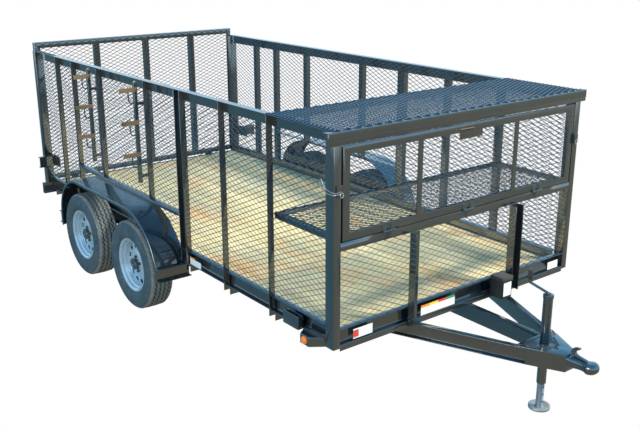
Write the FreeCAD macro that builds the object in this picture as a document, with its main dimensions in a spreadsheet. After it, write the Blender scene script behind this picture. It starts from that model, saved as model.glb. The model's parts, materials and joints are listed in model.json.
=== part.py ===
import FreeCAD, Part
import math
import os
import re
from types import SimpleNamespace

import Sketcher

# A tandem-axle landscape trailer: plank floor, tall walls of expanded metal, a covered front bay
# with a drop-down door, a rear ramp gate, and an A-frame tongue that stands on its jack.
# Row frame: +X forward towards the coupler, +Y to the left, +Z up, the ground at Z = 0.
# Every piece is drawn from the front face of the front posts, and its Placement then moves it
# by front_face, so that the origin lies in the middle of the whole length. Millimetres.

V = FreeCAD.Vector

DRIVING = {
    "box_length": (4360, "front face of the front posts to the rear face of the rear posts"),
    "body_width": (2158, "outside of the top rails"),
    "wall_top": (1735, "top of the side walls above the ground"),
    "bay_length": (649, "front posts' face to the rear of the covered bay"),
    "rail_bottom": (465, "underside of the side rails above the ground"),
    "rail_depth": (102, "height of the rails, the sill and the tongue channels"),
    "rail_flange": (41, "flanges of those channels"),
    "rail_wall": (5, "thickness of those channels"),
    "rail_inset": (25, "side rails' toes inside of the top rails' faces"),
    "sill_drop": (68, "rear sill's top below the rails' top"),
    "sill_overhang": (30, "rear sill beyond the top rails' faces"),
    "section_leg": (51, "legs of the angles of the walls, the gate and the door"),
    "section_wall": (5, "thickness of those angles"),
    "upright_drop": (31, "uprights reach below the rails by this"),
    "bay_rail_leg": (64, "side leg of the top rails beside the covered bay"),
    "double_width": (83, "channel upright ahead of the wheels, along the trailer"),
    "post_depth": (76, "front posts along the trailer, rear posts across it"),
    "post_drop": (17, "front posts reach below the rails by this"),
    "crossmember_leg": (76, "legs of the floor's crossmembers"),
    "crossmember_pitch": (536, "from one crossmember to the next"),
    "plank_wall": (38, "thickness of the floor planks"),
    "plank_width": (140, "floor planks across"),
    "tyre_radius": (345, "ST205/75R15 tyre, the spindles' height above the ground"),
    "tyre_width": (202, "section width of the tyre"),
    "bead_radius": (190.5, "seat of a 15 in rim"),
    "rim_lip": (17, "height of the rim's flanges"),
    "rim_width": (160, "6 in rim over its flanges"),
    "rim_wall": (5, "thickness of the rim"),
    "wheel_plane": (1173, "middle plane of the tyres from the centre line"),
    "disc_face": (38, "rim's bolting face outside of the wheel's plane"),
    "hub_radius": (60, "wheel hub"),
    "cap_radius": (41, "hub cap"),
    "cap_reach": (72, "face of the hub cap outside of the wheel's plane"),
    "vent_radius": (9, "half the height of a vent in the rim"),
    "vent_length": (22, "between the round ends of a vent"),
    "spindle_radius": (20, "wheel spindles"),
    "bearing_clearance": (0.5, "around a spindle in its hub"),
    "front_axle": (2225, "front posts' face back to the front axle"),
    "axle_spacing": (890, "from one axle to the other"),
    "axle_radius": (30, "axle beams"),
    "axle_drop": (100, "axle beams below the spindles"),
    "drop_wall": (20, "plates that join the beams to the spindles"),
    "drop_radius": (42, "rounded ends of those plates"),
    "spring_half": (330, "from an axle to the eyes of its springs"),
    "spring_width": (45, "leaf springs across"),
    "leaf_wall": (10, "one leaf"),
    "eye_radius": (18, "spring eyes"),
    "eye_drop": (115, "spring eyes below the rails"),
    "hanger_half": (28, "half a spring hanger along the trailer"),
    "hanger_wall": (5, "thickness of the spring hangers"),
    "seat_gap": (0.3, "between pieces that are bolted or hung together"),
    "fender_radius": (470, "rounded ends of the fenders, about the axles"),
    "fender_reach": (1287, "outer lip of the fenders from the centre line"),
    "fender_wall": (3, "sheet metal of the fenders"),
    "fender_lip": (24, "height of the fenders' outer lip"),
    "well_rise": (23, "rail over the wheels, above the fender"),
    "gate_height": (1293, "ramp gate from its bottom to its top"),
    "gate_width": (2100, "ramp gate across"),
    "gate_clearance": (8, "ramp gate behind the rear posts and above the sill"),
    "gate_pin_gap": (5, "gate's hinge barrels behind its frame"),
    "barrel_radius": (9, "hinge barrels of the gate"),
    "barrel_length": (60, "each barrel of the gate's hinges"),
    "pin_radius": (5, "hinge pins of the gate"),
    "pin_clearance": (0.4, "around a hinge pin, and between two barrels"),
    "lug_wall": (19, "plates on the sill that carry the gate's hinges"),
    "door_height": (542, "drop-down door of the covered bay"),
    "door_gap": (11, "door to the posts on each side"),
    "door_rise": (5, "door above the mid rail"),
    "door_leg": (38, "rearward legs of the door's frame"),
    "door_edge": (44, "top and bottom faces of the door's frame"),
    "door_bar": (40, "bars of the door"),
    "handle_width": (200, "handle plate of the door"),
    "knuckle_radius": (7, "hinge knuckles of the door"),
    "knuckle_length": (33, "each knuckle of the door's hinges"),
    "knuckle_gap": (1, "door's knuckles ahead of the mid rail"),
    "knuckle_wall": (3, "straps of the door's hinges"),
    "mid_rail_top": (1098, "top of the rail under the door"),
    "header_depth": (77, "front face of the header"),
    "header_leg": (44, "top of the header behind the posts' faces"),
    "header_lap": (51, "outer layer of the header's face"),
    "header_step": (2, "outer layer of the header, thickness"),
    "header_overhang": (45, "header beyond the top rails' faces"),
    "shelf_top": (1117, "top of the shelf frame in the covered bay"),
    "shelf_leg": (38, "angles of the shelf frame"),
    "shelf_wall": (4, "thickness of those angles"),
    "strand": (8, "strands of the mesh panels across"),
    "strand_wall": (2, "thickness of a strand"),
    "layer_gap": (0.4, "between the two layers of strands"),
    "panel_joint": (3, "between two mesh panels"),
    "diamond_length": (200, "mesh diamonds along their long way"),
    "diamond_height": (100, "mesh diamonds along their short way"),
    "stake_face": (63, "flat legs of the front stakes"),
    "tongue_drop": (35, "tongue channels' top below the rails' underside"),
    "tongue_front": (640, "front posts' face to the front of the tongue channels"),
    "tongue_width": (300, "tongue channels' toes there, side to side"),
    "tongue_root": (840, "tongue channels' toes at the front posts' face, side to side"),
    "nose_front": (850, "front posts' face to the front of the nose plates"),
    "nose_width": (90, "nose plates at their front"),
    "nose_wall": (6, "nose plates"),
    "spine_offset": (55, "centre channel's web from the centre line"),
    "coupler_reach": (1034, "front posts' face to the tip of the coupler"),
    "coupler_width": (64, "coupler's neck"),
    "coupler_depth": (46, "height of the coupler"),
    "dome_radius": (45, "coupler's round head"),
    "socket_radius": (26, "coupler's mouth for a 2 in ball"),
    "socket_depth": (30, "depth of that mouth"),
    "latch_height": (40, "coupler's latch handle"),
    "latch_wall": (12, "coupler's latch handle across"),
    "jack_reach": (660, "front posts' face to the jack's axis"),
    "jack_radius": (28.5, "jack's outer tube"),
    "leg_gap": (0.5, "jack's inner tube to its outer tube, all round"),
    "jack_top": (720, "top of the jack's outer tube above the ground"),
    "jack_bottom": (169, "lower end of the jack's outer tube"),
    "jack_cap": (20, "height of the cap on the jack"),
    "cap_rim": (3, "cap wider than the jack's tube all round"),
    "leg_radius": (22.5, "jack's inner tube"),
    "leg_wall": (3, "wall of the jack's inner tube"),
    "leg_height": (450, "jack's inner tube above the ground"),
    "foot_radius": (66, "jack's foot"),
    "foot_wall": (5, "jack's foot plate"),
    "foot_rim": (15, "height of the foot's raised rim"),
    "crank_reach": (139, "crank arm behind the jack's axis"),
    "crank_radius": (8, "crank's rod"),
    "crank_rise": (34, "crank arm rises by this"),
    "grip_height": (93, "crank's grip"),
    "grip_radius": (14, "crank's grip"),
    "battery_length": (100, "battery box along the trailer"),
    "battery_width": (95, "battery box across"),
    "battery_height": (145, "battery box"),
    "battery_place": (262, "battery box's inner side from the centre line"),
    "tray_wall": (4, "battery box's tray"),
    "lamp_bracket": (208, "tail light brackets across"),
    "lamp_height": (100, "tail light brackets"),
    "lamp_bottom": (650, "tail light brackets above the ground"),
    "lamp_radius": (38, "tail lights"),
    "marker_length": (282, "side marker housings"),
    "marker_depth": (56, "side marker housings across"),
    "marker_height": (80, "side marker housings"),
    "marker_front": (29, "front posts' face back to the marker housings"),
    "marker_bottom": (400, "side marker housings above the ground"),
    "lens_radius": (25, "side marker lenses"),
    "lens_wall": (12, "side marker lenses, thickness"),
    "pocket_length": (155, "stake pockets along the trailer"),
    "pocket_width": (40, "stake pockets across"),
    "pocket_height": (85, "stake pockets"),
    "pocket_front": (320, "front posts' face back to the stake pockets"),
    "rack_post": (38, "square posts of the tool racks"),
    "rack_standoff": (76, "tool racks outside of the uprights"),
    "rack_top": (1720, "top of the rack posts above the ground"),
    "rack_bottom": (932, "lower end of the rack posts"),
    "rack_arm": (25, "stand-offs of the rack posts"),
    "hook_reach": (95, "hooks outside of the rack posts"),
    "hook_rise": (45, "upturned ends of the hooks"),
    "hook_width": (50, "hooks along the trailer"),
    "hook_wall": (6, "hooks' plate"),
    "overrun": (1, "cutting shapes reach past what they cut by this"),
}

DERIVED = {
    "half_body": "=body_width / 2",
    "wall_plane": "=half_body - section_leg",
    "rail_toe": "=half_body - rail_inset",
    "rail_web": "=rail_toe - rail_flange",
    "rail_top": "=rail_bottom + rail_depth",
    "sill_top": "=rail_top - sill_drop",
    "deck_top": "=rail_bottom + plank_wall",
    "mesh_depth": "=2 * strand_wall + layer_gap",
    "rear_axle": "=front_axle + axle_spacing",
    "fender_top": "=tyre_radius + fender_radius",
    "well_top": "=fender_top + well_rise",
    "door_half": "=wall_plane - door_gap",
    "door_bottom": "=mid_rail_top + door_rise",
    "door_top": "=door_bottom + door_height",
    "gate_bottom": "=sill_top + gate_clearance",
    "gate_face": "=box_length + gate_clearance + mesh_depth",
    "gate_back": "=gate_face + section_leg",
    "gate_axis": "=gate_back + gate_pin_gap + barrel_radius",
    "gate_axis_height": "=gate_bottom + barrel_radius + section_wall",
    "tongue_top": "=rail_bottom - tongue_drop",
    "ball_centre": "=coupler_reach - dome_radius",
    "tail_reach": "=gate_axis + barrel_radius",
    "front_face": "=(tail_reach - coupler_reach) / 2",
}

doc = FreeCAD.newDocument("trailer")
sheet = doc.addObject("Spreadsheet::Sheet", "Sizes")
ALIASES = [*DRIVING, *DERIVED]
for place, alias in enumerate(ALIASES, start=1):
    value, meaning = DRIVING.get(alias) or (DERIVED[alias], "derived")
    sheet.set("A%d" % place, meaning)
    sheet.set("B%d" % place, str(value))
    sheet.setAlias("B%d" % place, alias)
doc.recompute()
S = SimpleNamespace(**{alias: float(sheet.get(alias)) for alias in ALIASES})
ALIAS_WORD = re.compile(r"\b(%s)\b" % "|".join(sorted(ALIASES, key=len, reverse=True)))

nodes = {}
places = {}


def bound(text):
    """Sheet expression for an object outside of the sheet."""
    return ALIAS_WORD.sub(r"Sizes.\1", text)


def keep(obj, label):
    """Name an object as one of the trailer's pieces and place it in the row frame."""
    own = places.get(obj.Name, "0")
    obj.setExpression("Placement.Base.x", bound("front_face + (%s)" % own))
    obj.Label = label
    nodes[label] = obj
    return obj


def shaped(label, *solids):
    """A piece whose solids are worked out here from the sheet's sizes."""
    feature = doc.addObject("Part::Feature", label)
    feature.Shape = solids[0] if len(solids) == 1 else Part.makeCompound(list(solids))
    feature.Placement = FreeCAD.Placement()
    return keep(feature, label)


def sketched(body, name, role, corners):
    """A closed sketch with straight sides on one of a body's own planes, tied to the sheet."""
    plane = [item for item in body.Origin.OriginFeatures if item.Role == role][0]
    sketch = body.newObject("Sketcher::SketchObject", name)
    sketch.AttachmentSupport = [(plane, "")]
    sketch.MapMode = "FlatFace"
    spots = [V(*[float(sheet.evalExpression(text)) for text in corner], 0) for corner in corners]
    count = len(spots)
    for k in range(count):
        sketch.addGeometry(Part.LineSegment(spots[k], spots[(k + 1) % count]), False)
    for k in range(count):
        sketch.addConstraint(Sketcher.Constraint("Coincident", k, 2, (k + 1) % count, 1))
    for k, corner in enumerate(corners):
        for axis, text in zip("XY", corner):
            if text == "0":
                line = -2 if axis == "X" else -1
                sketch.addConstraint(Sketcher.Constraint("PointOnObject", k, 1, line))
                continue
            size = spots[k].x if axis == "X" else spots[k].y
            index = sketch.addConstraint(
                Sketcher.Constraint("Distance" + axis, -1, 1, k, 1, size))
            sketch.renameConstraint(index, "%s%d" % (axis.lower(), k))
            sketch.setExpression("Constraints.%s%d" % (axis.lower(), k), bound(text))
    return sketch


def placed(body, at):
    """Tie a body's place to the sheet, and remember where it stands along the trailer."""
    for axis, text in zip("xyz", at):
        body.setExpression("Placement.Base." + axis, bound(text))
    places[body.Name] = at[0]
    return body


def member(name, runs, corners, length, at):
    """A straight rolled member: its section sketched across its run and padded."""
    role = {"across": "XZ_Plane", "along": "YZ_Plane", "up": "XY_Plane"}[runs]
    body = doc.addObject("PartDesign::Body", name)
    section = sketched(body, name + "_section", role, corners)
    pad = body.newObject("PartDesign::Pad", name + "_pad")
    pad.Profile = section
    pad.Reversed = runs == "across"
    pad.setExpression("Length", bound(length))
    return placed(body, at)


def turned_body(name, corners, at):
    """A round piece: its section sketched beside the Y axis and revolved about it."""
    body = doc.addObject("PartDesign::Body", name)
    section = sketched(body, name + "_section", "YZ_Plane", corners)
    turn = body.newObject("PartDesign::Revolution", name + "_turn")
    turn.Profile = section
    turn.ReferenceAxis = (section, ["H_Axis"])
    turn.Angle = 360
    return placed(body, at)


def mirrored(source, label):
    """The same piece on the other side of the trailer."""
    copy = doc.addObject("Part::Mirroring", label)
    copy.Source = source
    copy.Normal = V(0, 1, 0)
    return copy


def both_sides(*shapes):
    """Shapes and their mirror images across the middle of the trailer."""
    return [*shapes, *[shape.mirror(V(0, 0, 0), V(0, 1, 0)) for shape in shapes]]


def fused(*shapes):
    """One solid from pieces that touch, with its seams taken out."""
    return shapes[0].multiFuse(list(shapes[1:])).removeSplitter()


def prism(corners, run):
    """A closed flat outline carried along a vector."""
    return Part.Face(Part.makePolygon([*corners, corners[0]])).extrude(run)


def block(low, high):
    return Part.makeBox(high.x - low.x, high.y - low.y, high.z - low.z, low)


def rod(start, end, radius):
    return Part.makeCylinder(radius, (end - start).Length, start, end - start)


def angle_bar(corner, run, leg_a, leg_b, wall):
    """An angle: legs along two vectors from its corner, carried along a third."""
    a = V(leg_a).normalize() * wall
    b = V(leg_b).normalize() * wall
    section = [V(0, 0, 0), leg_a, leg_a + b, a + b, leg_b + a, leg_b]
    return prism([corner + point for point in section], run)


def channel_bar(corner, run, web, flange, wall):
    """A channel: its web along one vector from a corner, its flanges along another."""
    w = V(web).normalize() * wall
    f = V(flange).normalize() * wall
    section = [V(0, 0, 0), flange, flange + w, f + w, f + web - w, flange + web - w,
               flange + web, web]
    return prism([corner + point for point in section], run)


def square_tube(low, high, wall):
    """A rectangular tube that stands upright and is open at both ends."""
    inner = V(wall, wall, -S.overrun)
    return block(low, high).cut(block(low + inner, high - inner))


# Mesh panels

def clipped(points, wide, tall):
    """Cut a flat outline of (u, v) points to the rectangle from zero to wide and tall."""
    for axis, limit, sign in ((0, 0, 1), (0, wide, -1), (1, 0, 1), (1, tall, -1)):
        kept = []
        for a, b in zip(points, points[1:] + points[:1]):
            inside_a = sign * (a[axis] - limit)
            inside_b = sign * (b[axis] - limit)
            if inside_a >= 0:
                kept.append(a)
            if inside_a * inside_b < 0:
                part = inside_a / (inside_a - inside_b)
                kept.append((a[0] + (b[0] - a[0]) * part, a[1] + (b[1] - a[1]) * part))
        points = kept
    return points


def outline_area(points):
    return abs(sum(a[0] * b[1] - b[0] * a[1]
                   for a, b in zip(points, points[1:] + points[:1]))) / 2


def mesh_panel(corner, along, up, outward, wide, tall):
    """Two layers of slanting strands that cross into diamonds, cut to a rectangle."""
    slant = S.diamond_height / S.diamond_length
    half = S.strand / 2 * math.sqrt(1 + slant * slant)
    run = tall / slant
    strands = []
    for layer, lean in enumerate((1, -1)):
        lift = outward * (layer * (S.strand_wall + S.layer_gap))
        start = -run if lean > 0 else 0
        for k in range(int((wide + run) / S.diamond_length) + 1):
            foot = start + (k + 1 / 2) * S.diamond_length
            strip = clipped([(foot, -half), (foot + lean * run, tall - half),
                             (foot + lean * run, tall + half), (foot, half)], wide, tall)
            if len(strip) > 2 and outline_area(strip) > S.strand * S.diamond_height:
                strands.append(prism([corner + along * u + up * v + lift for u, v in strip],
                                     outward * S.strand_wall))
    return strands


# Floor frame

RAIL_SECTION = [("0", "0"), ("rail_flange", "0"), ("rail_flange", "rail_depth"),
                ("0", "rail_depth"), ("0", "rail_depth - rail_wall"),
                ("rail_flange - rail_wall", "rail_depth - rail_wall"),
                ("rail_flange - rail_wall", "rail_wall"), ("0", "rail_wall")]
CROSS_SECTION = [("0", "0"), ("rail_flange", "0"), ("rail_flange", "rail_wall"),
                 ("rail_wall", "rail_wall"), ("rail_wall", "rail_depth - rail_wall"),
                 ("rail_flange", "rail_depth - rail_wall"), ("rail_flange", "rail_depth"),
                 ("0", "rail_depth")]

side_rail = member("side_rail", "along", RAIL_SECTION,
                   "box_length - post_depth - section_leg",
                   ("section_leg - box_length", "-rail_toe", "rail_bottom"))
rail_pair = doc.addObject("Part::Compound", "side_rails")
rail_pair.Links = [side_rail, mirrored(side_rail, "side_rail_left")]
keep(rail_pair, "side_rails")
keep(member("front_channel", "across", CROSS_SECTION, "2 * wall_plane",
            ("-rail_flange", "-wall_plane", "rail_bottom")), "front_channel")
keep(member("rear_sill", "across", CROSS_SECTION, "2 * (half_body + sill_overhang)",
            ("-box_length", "-half_body - sill_overhang", "sill_top - rail_depth")),
     "rear_sill")


def crossmembers():
    """Angles under the rails, and a shallow one over the tongue at the front."""
    count = int((S.box_length - S.bay_length) / S.crossmember_pitch) + 1
    spots = [-S.bay_length - k * S.crossmember_pitch for k in range(count)]
    spots.append(S.section_leg + S.crossmember_leg - S.box_length)
    across = V(0, 2 * S.wall_plane, 0)
    back = V(-S.crossmember_leg, 0, 0)
    bars = [angle_bar(V(x, -S.wall_plane, S.rail_bottom), across, back,
                      V(0, 0, -S.crossmember_leg), S.section_wall) for x in spots]
    bars.append(angle_bar(V(0, -S.wall_plane, S.rail_bottom), across, back,
                          V(0, 0, -S.tongue_drop), S.section_wall))
    return bars


def floor_planks():
    """Planks laid lengthwise between the rails, with equal open joints."""
    wide = 2 * S.rail_web
    count = int(wide / S.plank_width)
    joint = (wide - count * S.plank_width) / (count + 1)
    planks = []
    for k in range(count):
        y = -S.rail_web + joint + k * (S.plank_width + joint)
        planks.append(block(V(S.section_leg - S.box_length, y, S.rail_bottom),
                            V(-S.rail_flange, y + S.plank_width, S.deck_top)))
    return planks


shaped("crossmembers", *crossmembers())
shaped("floor_planks", *floor_planks())

# Posts and side walls

UPRIGHT_SHARES = (0.2718, 0.5078, 0.6927, 0.8062, 0.8853)
DOUBLE_SHARE = 0.4060
OVER_WHEELS = slice(2, 4)
REAR_OF_WHEELS = 4
post_top = S.wall_top - S.section_wall
uprights_x = [-S.bay_length, *[-share * S.box_length for share in UPRIGHT_SHARES]]
double_rear = -DOUBLE_SHARE * S.box_length
well_rear = uprights_x[REAR_OF_WHEELS]
fin_outer = S.half_body - S.section_wall

front_post = square_tube(V(-S.post_depth, -S.half_body, S.rail_bottom - S.post_drop),
                         V(0, -S.wall_plane, post_top), S.section_wall)
rear_post = square_tube(V(-S.box_length, -S.half_body, S.sill_top),
                        V(S.section_leg - S.box_length, S.post_depth - S.half_body, post_top),
                        S.section_wall)
shaped("front_posts", *both_sides(front_post))
shaped("rear_posts", *both_sides(rear_post))


def side_uprights():
    """The right wall's angles, their fins outwards, and the channel ahead of the wheels."""
    out = V(0, S.wall_plane - fin_outer, 0)
    bars = []
    for x in uprights_x:
        foot = S.well_top if x in uprights_x[OVER_WHEELS] else S.rail_bottom - S.upright_drop
        bars.append(angle_bar(V(x, -S.wall_plane, foot), V(0, 0, post_top - foot),
                              V(-S.section_leg, 0, 0), out, S.section_wall))
    bars.append(channel_bar(V(double_rear, -S.wall_plane, S.rail_bottom),
                            V(0, 0, post_top - S.rail_bottom), V(S.double_width, 0, 0), out,
                            S.section_wall))
    cope = channel_bar(V(-S.box_length, -S.rail_web, S.rail_bottom), V(S.box_length, 0, 0),
                       V(0, 0, S.rail_depth), V(0, -S.rail_flange, 0), S.rail_wall)
    return [bar.cut(cope) for bar in bars]


def top_rail():
    """The right wall's top angle, deeper beside the covered bay and notched at the posts."""
    start = V(-S.box_length, -S.half_body, S.wall_top)
    run = V(S.box_length - S.bay_length, 0, 0)
    inward = V(0, S.section_leg, 0)
    ahead = V(S.bay_length - S.header_leg, 0, 0)
    rail = fused(angle_bar(start, run, inward, V(0, 0, -S.section_leg), S.section_wall),
                 angle_bar(start + run, ahead, inward, V(0, 0, -S.bay_rail_leg), S.section_wall))
    for post in (front_post, rear_post):
        room = post.BoundBox
        rail = rail.cut(block(V(room.XMin, room.YMin - S.overrun, room.ZMin),
                              V(room.XMax, room.YMax, post_top)))
    return rail


def well_rail():
    """The angle over the fender that carries the wall between its two neighbours."""
    return angle_bar(V(well_rear, -S.half_body, S.well_top), V(double_rear - well_rear, 0, 0),
                     V(0, S.section_leg, 0), V(0, 0, -S.well_rise), S.section_wall)


def side_mesh():
    """The mesh panels of the right wall, inside the uprights, above rail and wheels."""
    strands = []
    over_wheels = S.well_top - S.section_wall
    for x0, x1, low in ((S.section_leg - S.box_length, well_rear, S.rail_top),
                        (well_rear + S.panel_joint, double_rear, over_wheels),
                        (double_rear + S.panel_joint, -S.post_depth, S.rail_top)):
        strands += mesh_panel(V(x0, -S.wall_plane, low), V(1, 0, 0), V(0, 0, 1), V(0, 1, 0),
                              x1 - x0, S.wall_top - low)
    return strands


shaped("uprights", *both_sides(*side_uprights()))
shaped("top_rails", *both_sides(top_rail()))
shaped("wheel_well_rails", *both_sides(well_rail()))
right_mesh = side_mesh()
shaped("side_mesh_right", *right_mesh)
shaped("side_mesh_left", *both_sides(*right_mesh)[len(right_mesh):])

# Fenders

axles_x = [-S.front_axle, -S.rear_axle]


def fender_face(inset, base):
    """The fender's side view: two quarter rounds about the axles and a flat top."""
    radius = S.fender_radius - inset
    top = S.tyre_radius + radius
    diagonal = math.sqrt(1 / 2) * radius
    ahead, behind = axles_x
    level = S.tyre_radius
    spots = [V(ahead + radius, 0, level), V(ahead + diagonal, 0, level + diagonal),
             V(ahead, 0, top), V(behind, 0, top),
             V(behind - diagonal, 0, level + diagonal), V(behind - radius, 0, level)]
    feet = [V(spots[5].x, 0, base), V(spots[0].x, 0, base)] if inset else []
    corners = [spots[5], *feet, spots[0]]
    edges = [Part.Arc(*spots[:3]).toShape(), Part.LineSegment(spots[2], spots[3]).toShape(),
             Part.Arc(*spots[3:]).toShape()]
    edges += [Part.LineSegment(a, b).toShape() for a, b in zip(corners, corners[1:])]
    return Part.Face(Part.Wire(edges))


def fender():
    """The right fender: a bent strip, its outer lip and the back plate above the rail."""
    inner_y = S.rail_toe - S.fender_wall
    below = S.tyre_radius - S.overrun
    across = V(0, inner_y - S.fender_reach, 0)
    outer = fender_face(0, 0)
    strip = outer.extrude(across).cut(fender_face(S.fender_wall, below).extrude(across))
    strip.translate(V(0, -inner_y, 0))
    plate = outer.extrude(V(0, -S.fender_wall, 0))
    plate.translate(V(0, -inner_y, 0))
    fold = V(0, S.fender_wall, 0)
    lip = outer.extrude(fold).cut(fender_face(S.fender_lip, below).extrude(fold))
    lip.translate(V(0, -S.fender_reach, 0))
    beside_rail = block(V(-S.box_length, -S.rail_toe, 0), V(0, 0, S.rail_top))
    behind_wheels = block(V(-S.box_length, -S.rail_toe, 0), V(well_rear, 0, S.wall_top))
    plate = plate.cut(beside_rail).cut(behind_wheels)
    walls = side_uprights()
    return fused(strip.cut(beside_rail), lip, plate).cut(walls[REAR_OF_WHEELS]).cut(walls[-1])


def fender_brackets():
    """Channel stubs under the rail that carry the ends of the right fender."""
    out = V(0, S.wall_plane - S.fender_reach, 0)
    low = S.rail_bottom - S.rail_depth
    return [channel_bar(V(x, -S.wall_plane, low), out, V(0, 0, S.rail_depth),
                        V(forward * S.rail_flange, 0, 0), S.rail_wall)
            for x, forward in ((axles_x[0] + S.fender_radius, 1),
                               (axles_x[1] - S.fender_radius, -1))]


shaped("fenders", *both_sides(fender()))
shaped("fender_brackets", *both_sides(*fender_brackets()))

# Covered front bay

HEADER_SECTION = [("0", "header_depth - section_wall"),
                  ("header_leg", "header_depth - section_wall"), ("header_leg", "0"),
                  ("header_leg + section_wall", "0"),
                  ("header_leg + section_wall", "header_depth - header_lap"),
                  ("header_leg + section_wall + header_step", "header_depth - header_lap"),
                  ("header_leg + section_wall + header_step", "header_depth"),
                  ("0", "header_depth")]
keep(member("header", "across", HEADER_SECTION, "2 * (half_body + header_overhang)",
            ("-header_leg", "-half_body - header_overhang", "wall_top - header_depth")),
     "header")

HINGE_SHARES = (-0.66, 0, 0.66)
DOOR_BAR_SHARES = (-0.42, 0.42)
hinge_x = S.knuckle_radius + S.knuckle_gap
hinge_z = (S.mid_rail_top + S.door_bottom) / 2


def knuckle(y, side):
    """A hinge knuckle, with its strap above the hinge line or below it."""
    across = V(0, S.knuckle_length, 0)
    centre = V(hinge_x, y, hinge_z)
    low, high = sorted((hinge_z, hinge_z + side * S.door_edge))
    strap = block(V(0, y, low), V(S.knuckle_wall, y + S.knuckle_length, high))
    return fused(rod(centre, centre + across, S.knuckle_radius), strap)


def mid_rail():
    """The angle under the door with the fixed knuckle of each hinge."""
    rail = angle_bar(V(0, -S.wall_plane, S.mid_rail_top), V(0, 2 * S.wall_plane, 0),
                     V(-S.section_leg, 0, 0), V(0, 0, -S.section_leg), S.section_wall)
    return fused(rail, *[knuckle(share * S.door_half - S.knuckle_length / 2, -1)
                         for share in HINGE_SHARES])


def door_frame():
    """The drop-down door: a frame of angle, two bars, a handle plate and hinge knuckles."""
    half = S.door_half
    back = V(-S.door_leg, 0, 0)
    up = V(0, 0, S.door_height)
    across = V(0, 2 * half, 0)
    wall = S.section_wall
    pieces = [angle_bar(V(0, -half, S.door_bottom), across, back, V(0, 0, S.door_edge), wall),
              angle_bar(V(0, -half, S.door_top), across, back, V(0, 0, -S.door_edge), wall)]
    for side in (-1, 1):
        pieces.append(angle_bar(V(0, side * half, S.door_bottom), up, back,
                                V(0, -side * S.section_leg, 0), wall))
    for share in DOOR_BAR_SHARES:
        y = share * half
        pieces.append(block(V(-wall, y - S.door_bar / 2, S.door_bottom),
                            V(0, y + S.door_bar / 2, S.door_top)))
    pieces.append(block(V(-wall, -S.handle_width / 2, S.door_top - 2 * S.door_edge),
                        V(0, S.handle_width / 2, S.door_top)))
    step = S.knuckle_length + S.pin_clearance
    for share in HINGE_SHARES:
        for side in (-1, 1):
            pieces.append(knuckle(share * half - S.knuckle_length / 2 + side * step, 1))
    return fused(*pieces)


shaped("mid_rail", mid_rail())
shaped("door_frame", door_frame())
mesh_inset = S.section_leg / 2
shaped("door_mesh", *mesh_panel(
    V(-S.section_wall, mesh_inset - S.door_half, S.door_bottom + S.section_wall),
    V(0, 1, 0), V(0, 0, 1), V(-1, 0, 0), 2 * (S.door_half - mesh_inset),
    S.door_height - 2 * S.section_wall))

bay_half = S.wall_plane - S.mesh_depth
shaped("roof_bar", angle_bar(V(-S.bay_length, -bay_half, S.wall_top), V(0, 2 * bay_half, 0),
                             V(S.section_leg, 0, 0), V(0, 0, -S.section_leg), S.section_wall))
shaped("roof_mesh", *mesh_panel(V(-S.bay_length, -S.half_body, S.wall_top), V(0, 1, 0),
                                V(1, 0, 0), V(0, 0, 1), S.body_width, S.bay_length))


def shelf_frame():
    """A rectangle of angle between the side meshes, against the mid rail at its front."""
    down = V(0, 0, -S.shelf_leg)
    across = V(0, 2 * bay_half, 0)
    along = V(S.bay_length - S.section_leg, 0, 0)
    bars = [angle_bar(V(x, -bay_half, S.shelf_top), across, V(side * S.shelf_leg, 0, 0), down,
                      S.shelf_wall) for x, side in ((-S.bay_length, 1), (-S.section_leg, -1))]
    bars += [angle_bar(V(-S.bay_length, -side * bay_half, S.shelf_top), along,
                       V(0, side * S.shelf_leg, 0), down, S.shelf_wall) for side in (-1, 1)]
    return fused(*bars)


shaped("shelf_frame", shelf_frame())
shaped("shelf_mesh", *mesh_panel(V(-S.bay_length, -bay_half, S.shelf_top), V(0, 1, 0),
                                 V(1, 0, 0), V(0, 0, 1), 2 * bay_half,
                                 S.bay_length - S.section_leg))
shaped("front_mesh", *mesh_panel(V(-S.section_wall, -S.wall_plane, S.rail_top), V(0, 1, 0),
                                 V(0, 0, 1), V(-1, 0, 0), 2 * S.wall_plane,
                                 S.mid_rail_top - S.section_wall - S.rail_top))

STAKE_SHARES = (-0.2354, 0.1803)


def stakes():
    """Upright angles on the front of the lower mesh, the fins forward."""
    foot = S.rail_bottom - S.post_drop
    return [angle_bar(V(0, share * S.body_width, foot),
                      V(0, 0, S.mid_rail_top - S.section_leg - foot),
                      V(S.section_leg, 0, 0), V(0, S.stake_face, 0), S.section_wall)
            for share in STAKE_SHARES]


shaped("front_stakes", *stakes())

# Ramp gate

GATE_BAR_SHARES = (-0.45, 0.045, 0.53)
GATE_HINGE_SHARES = (-0.72, 0.72)
gate_half = S.gate_width / 2
barrel_step = S.barrel_length + S.pin_clearance


def gate_rod(y0, y1, radius):
    """A round piece on the gate's hinge line."""
    return rod(V(-S.gate_axis, y0, S.gate_axis_height), V(-S.gate_axis, y1, S.gate_axis_height),
               radius)


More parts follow.
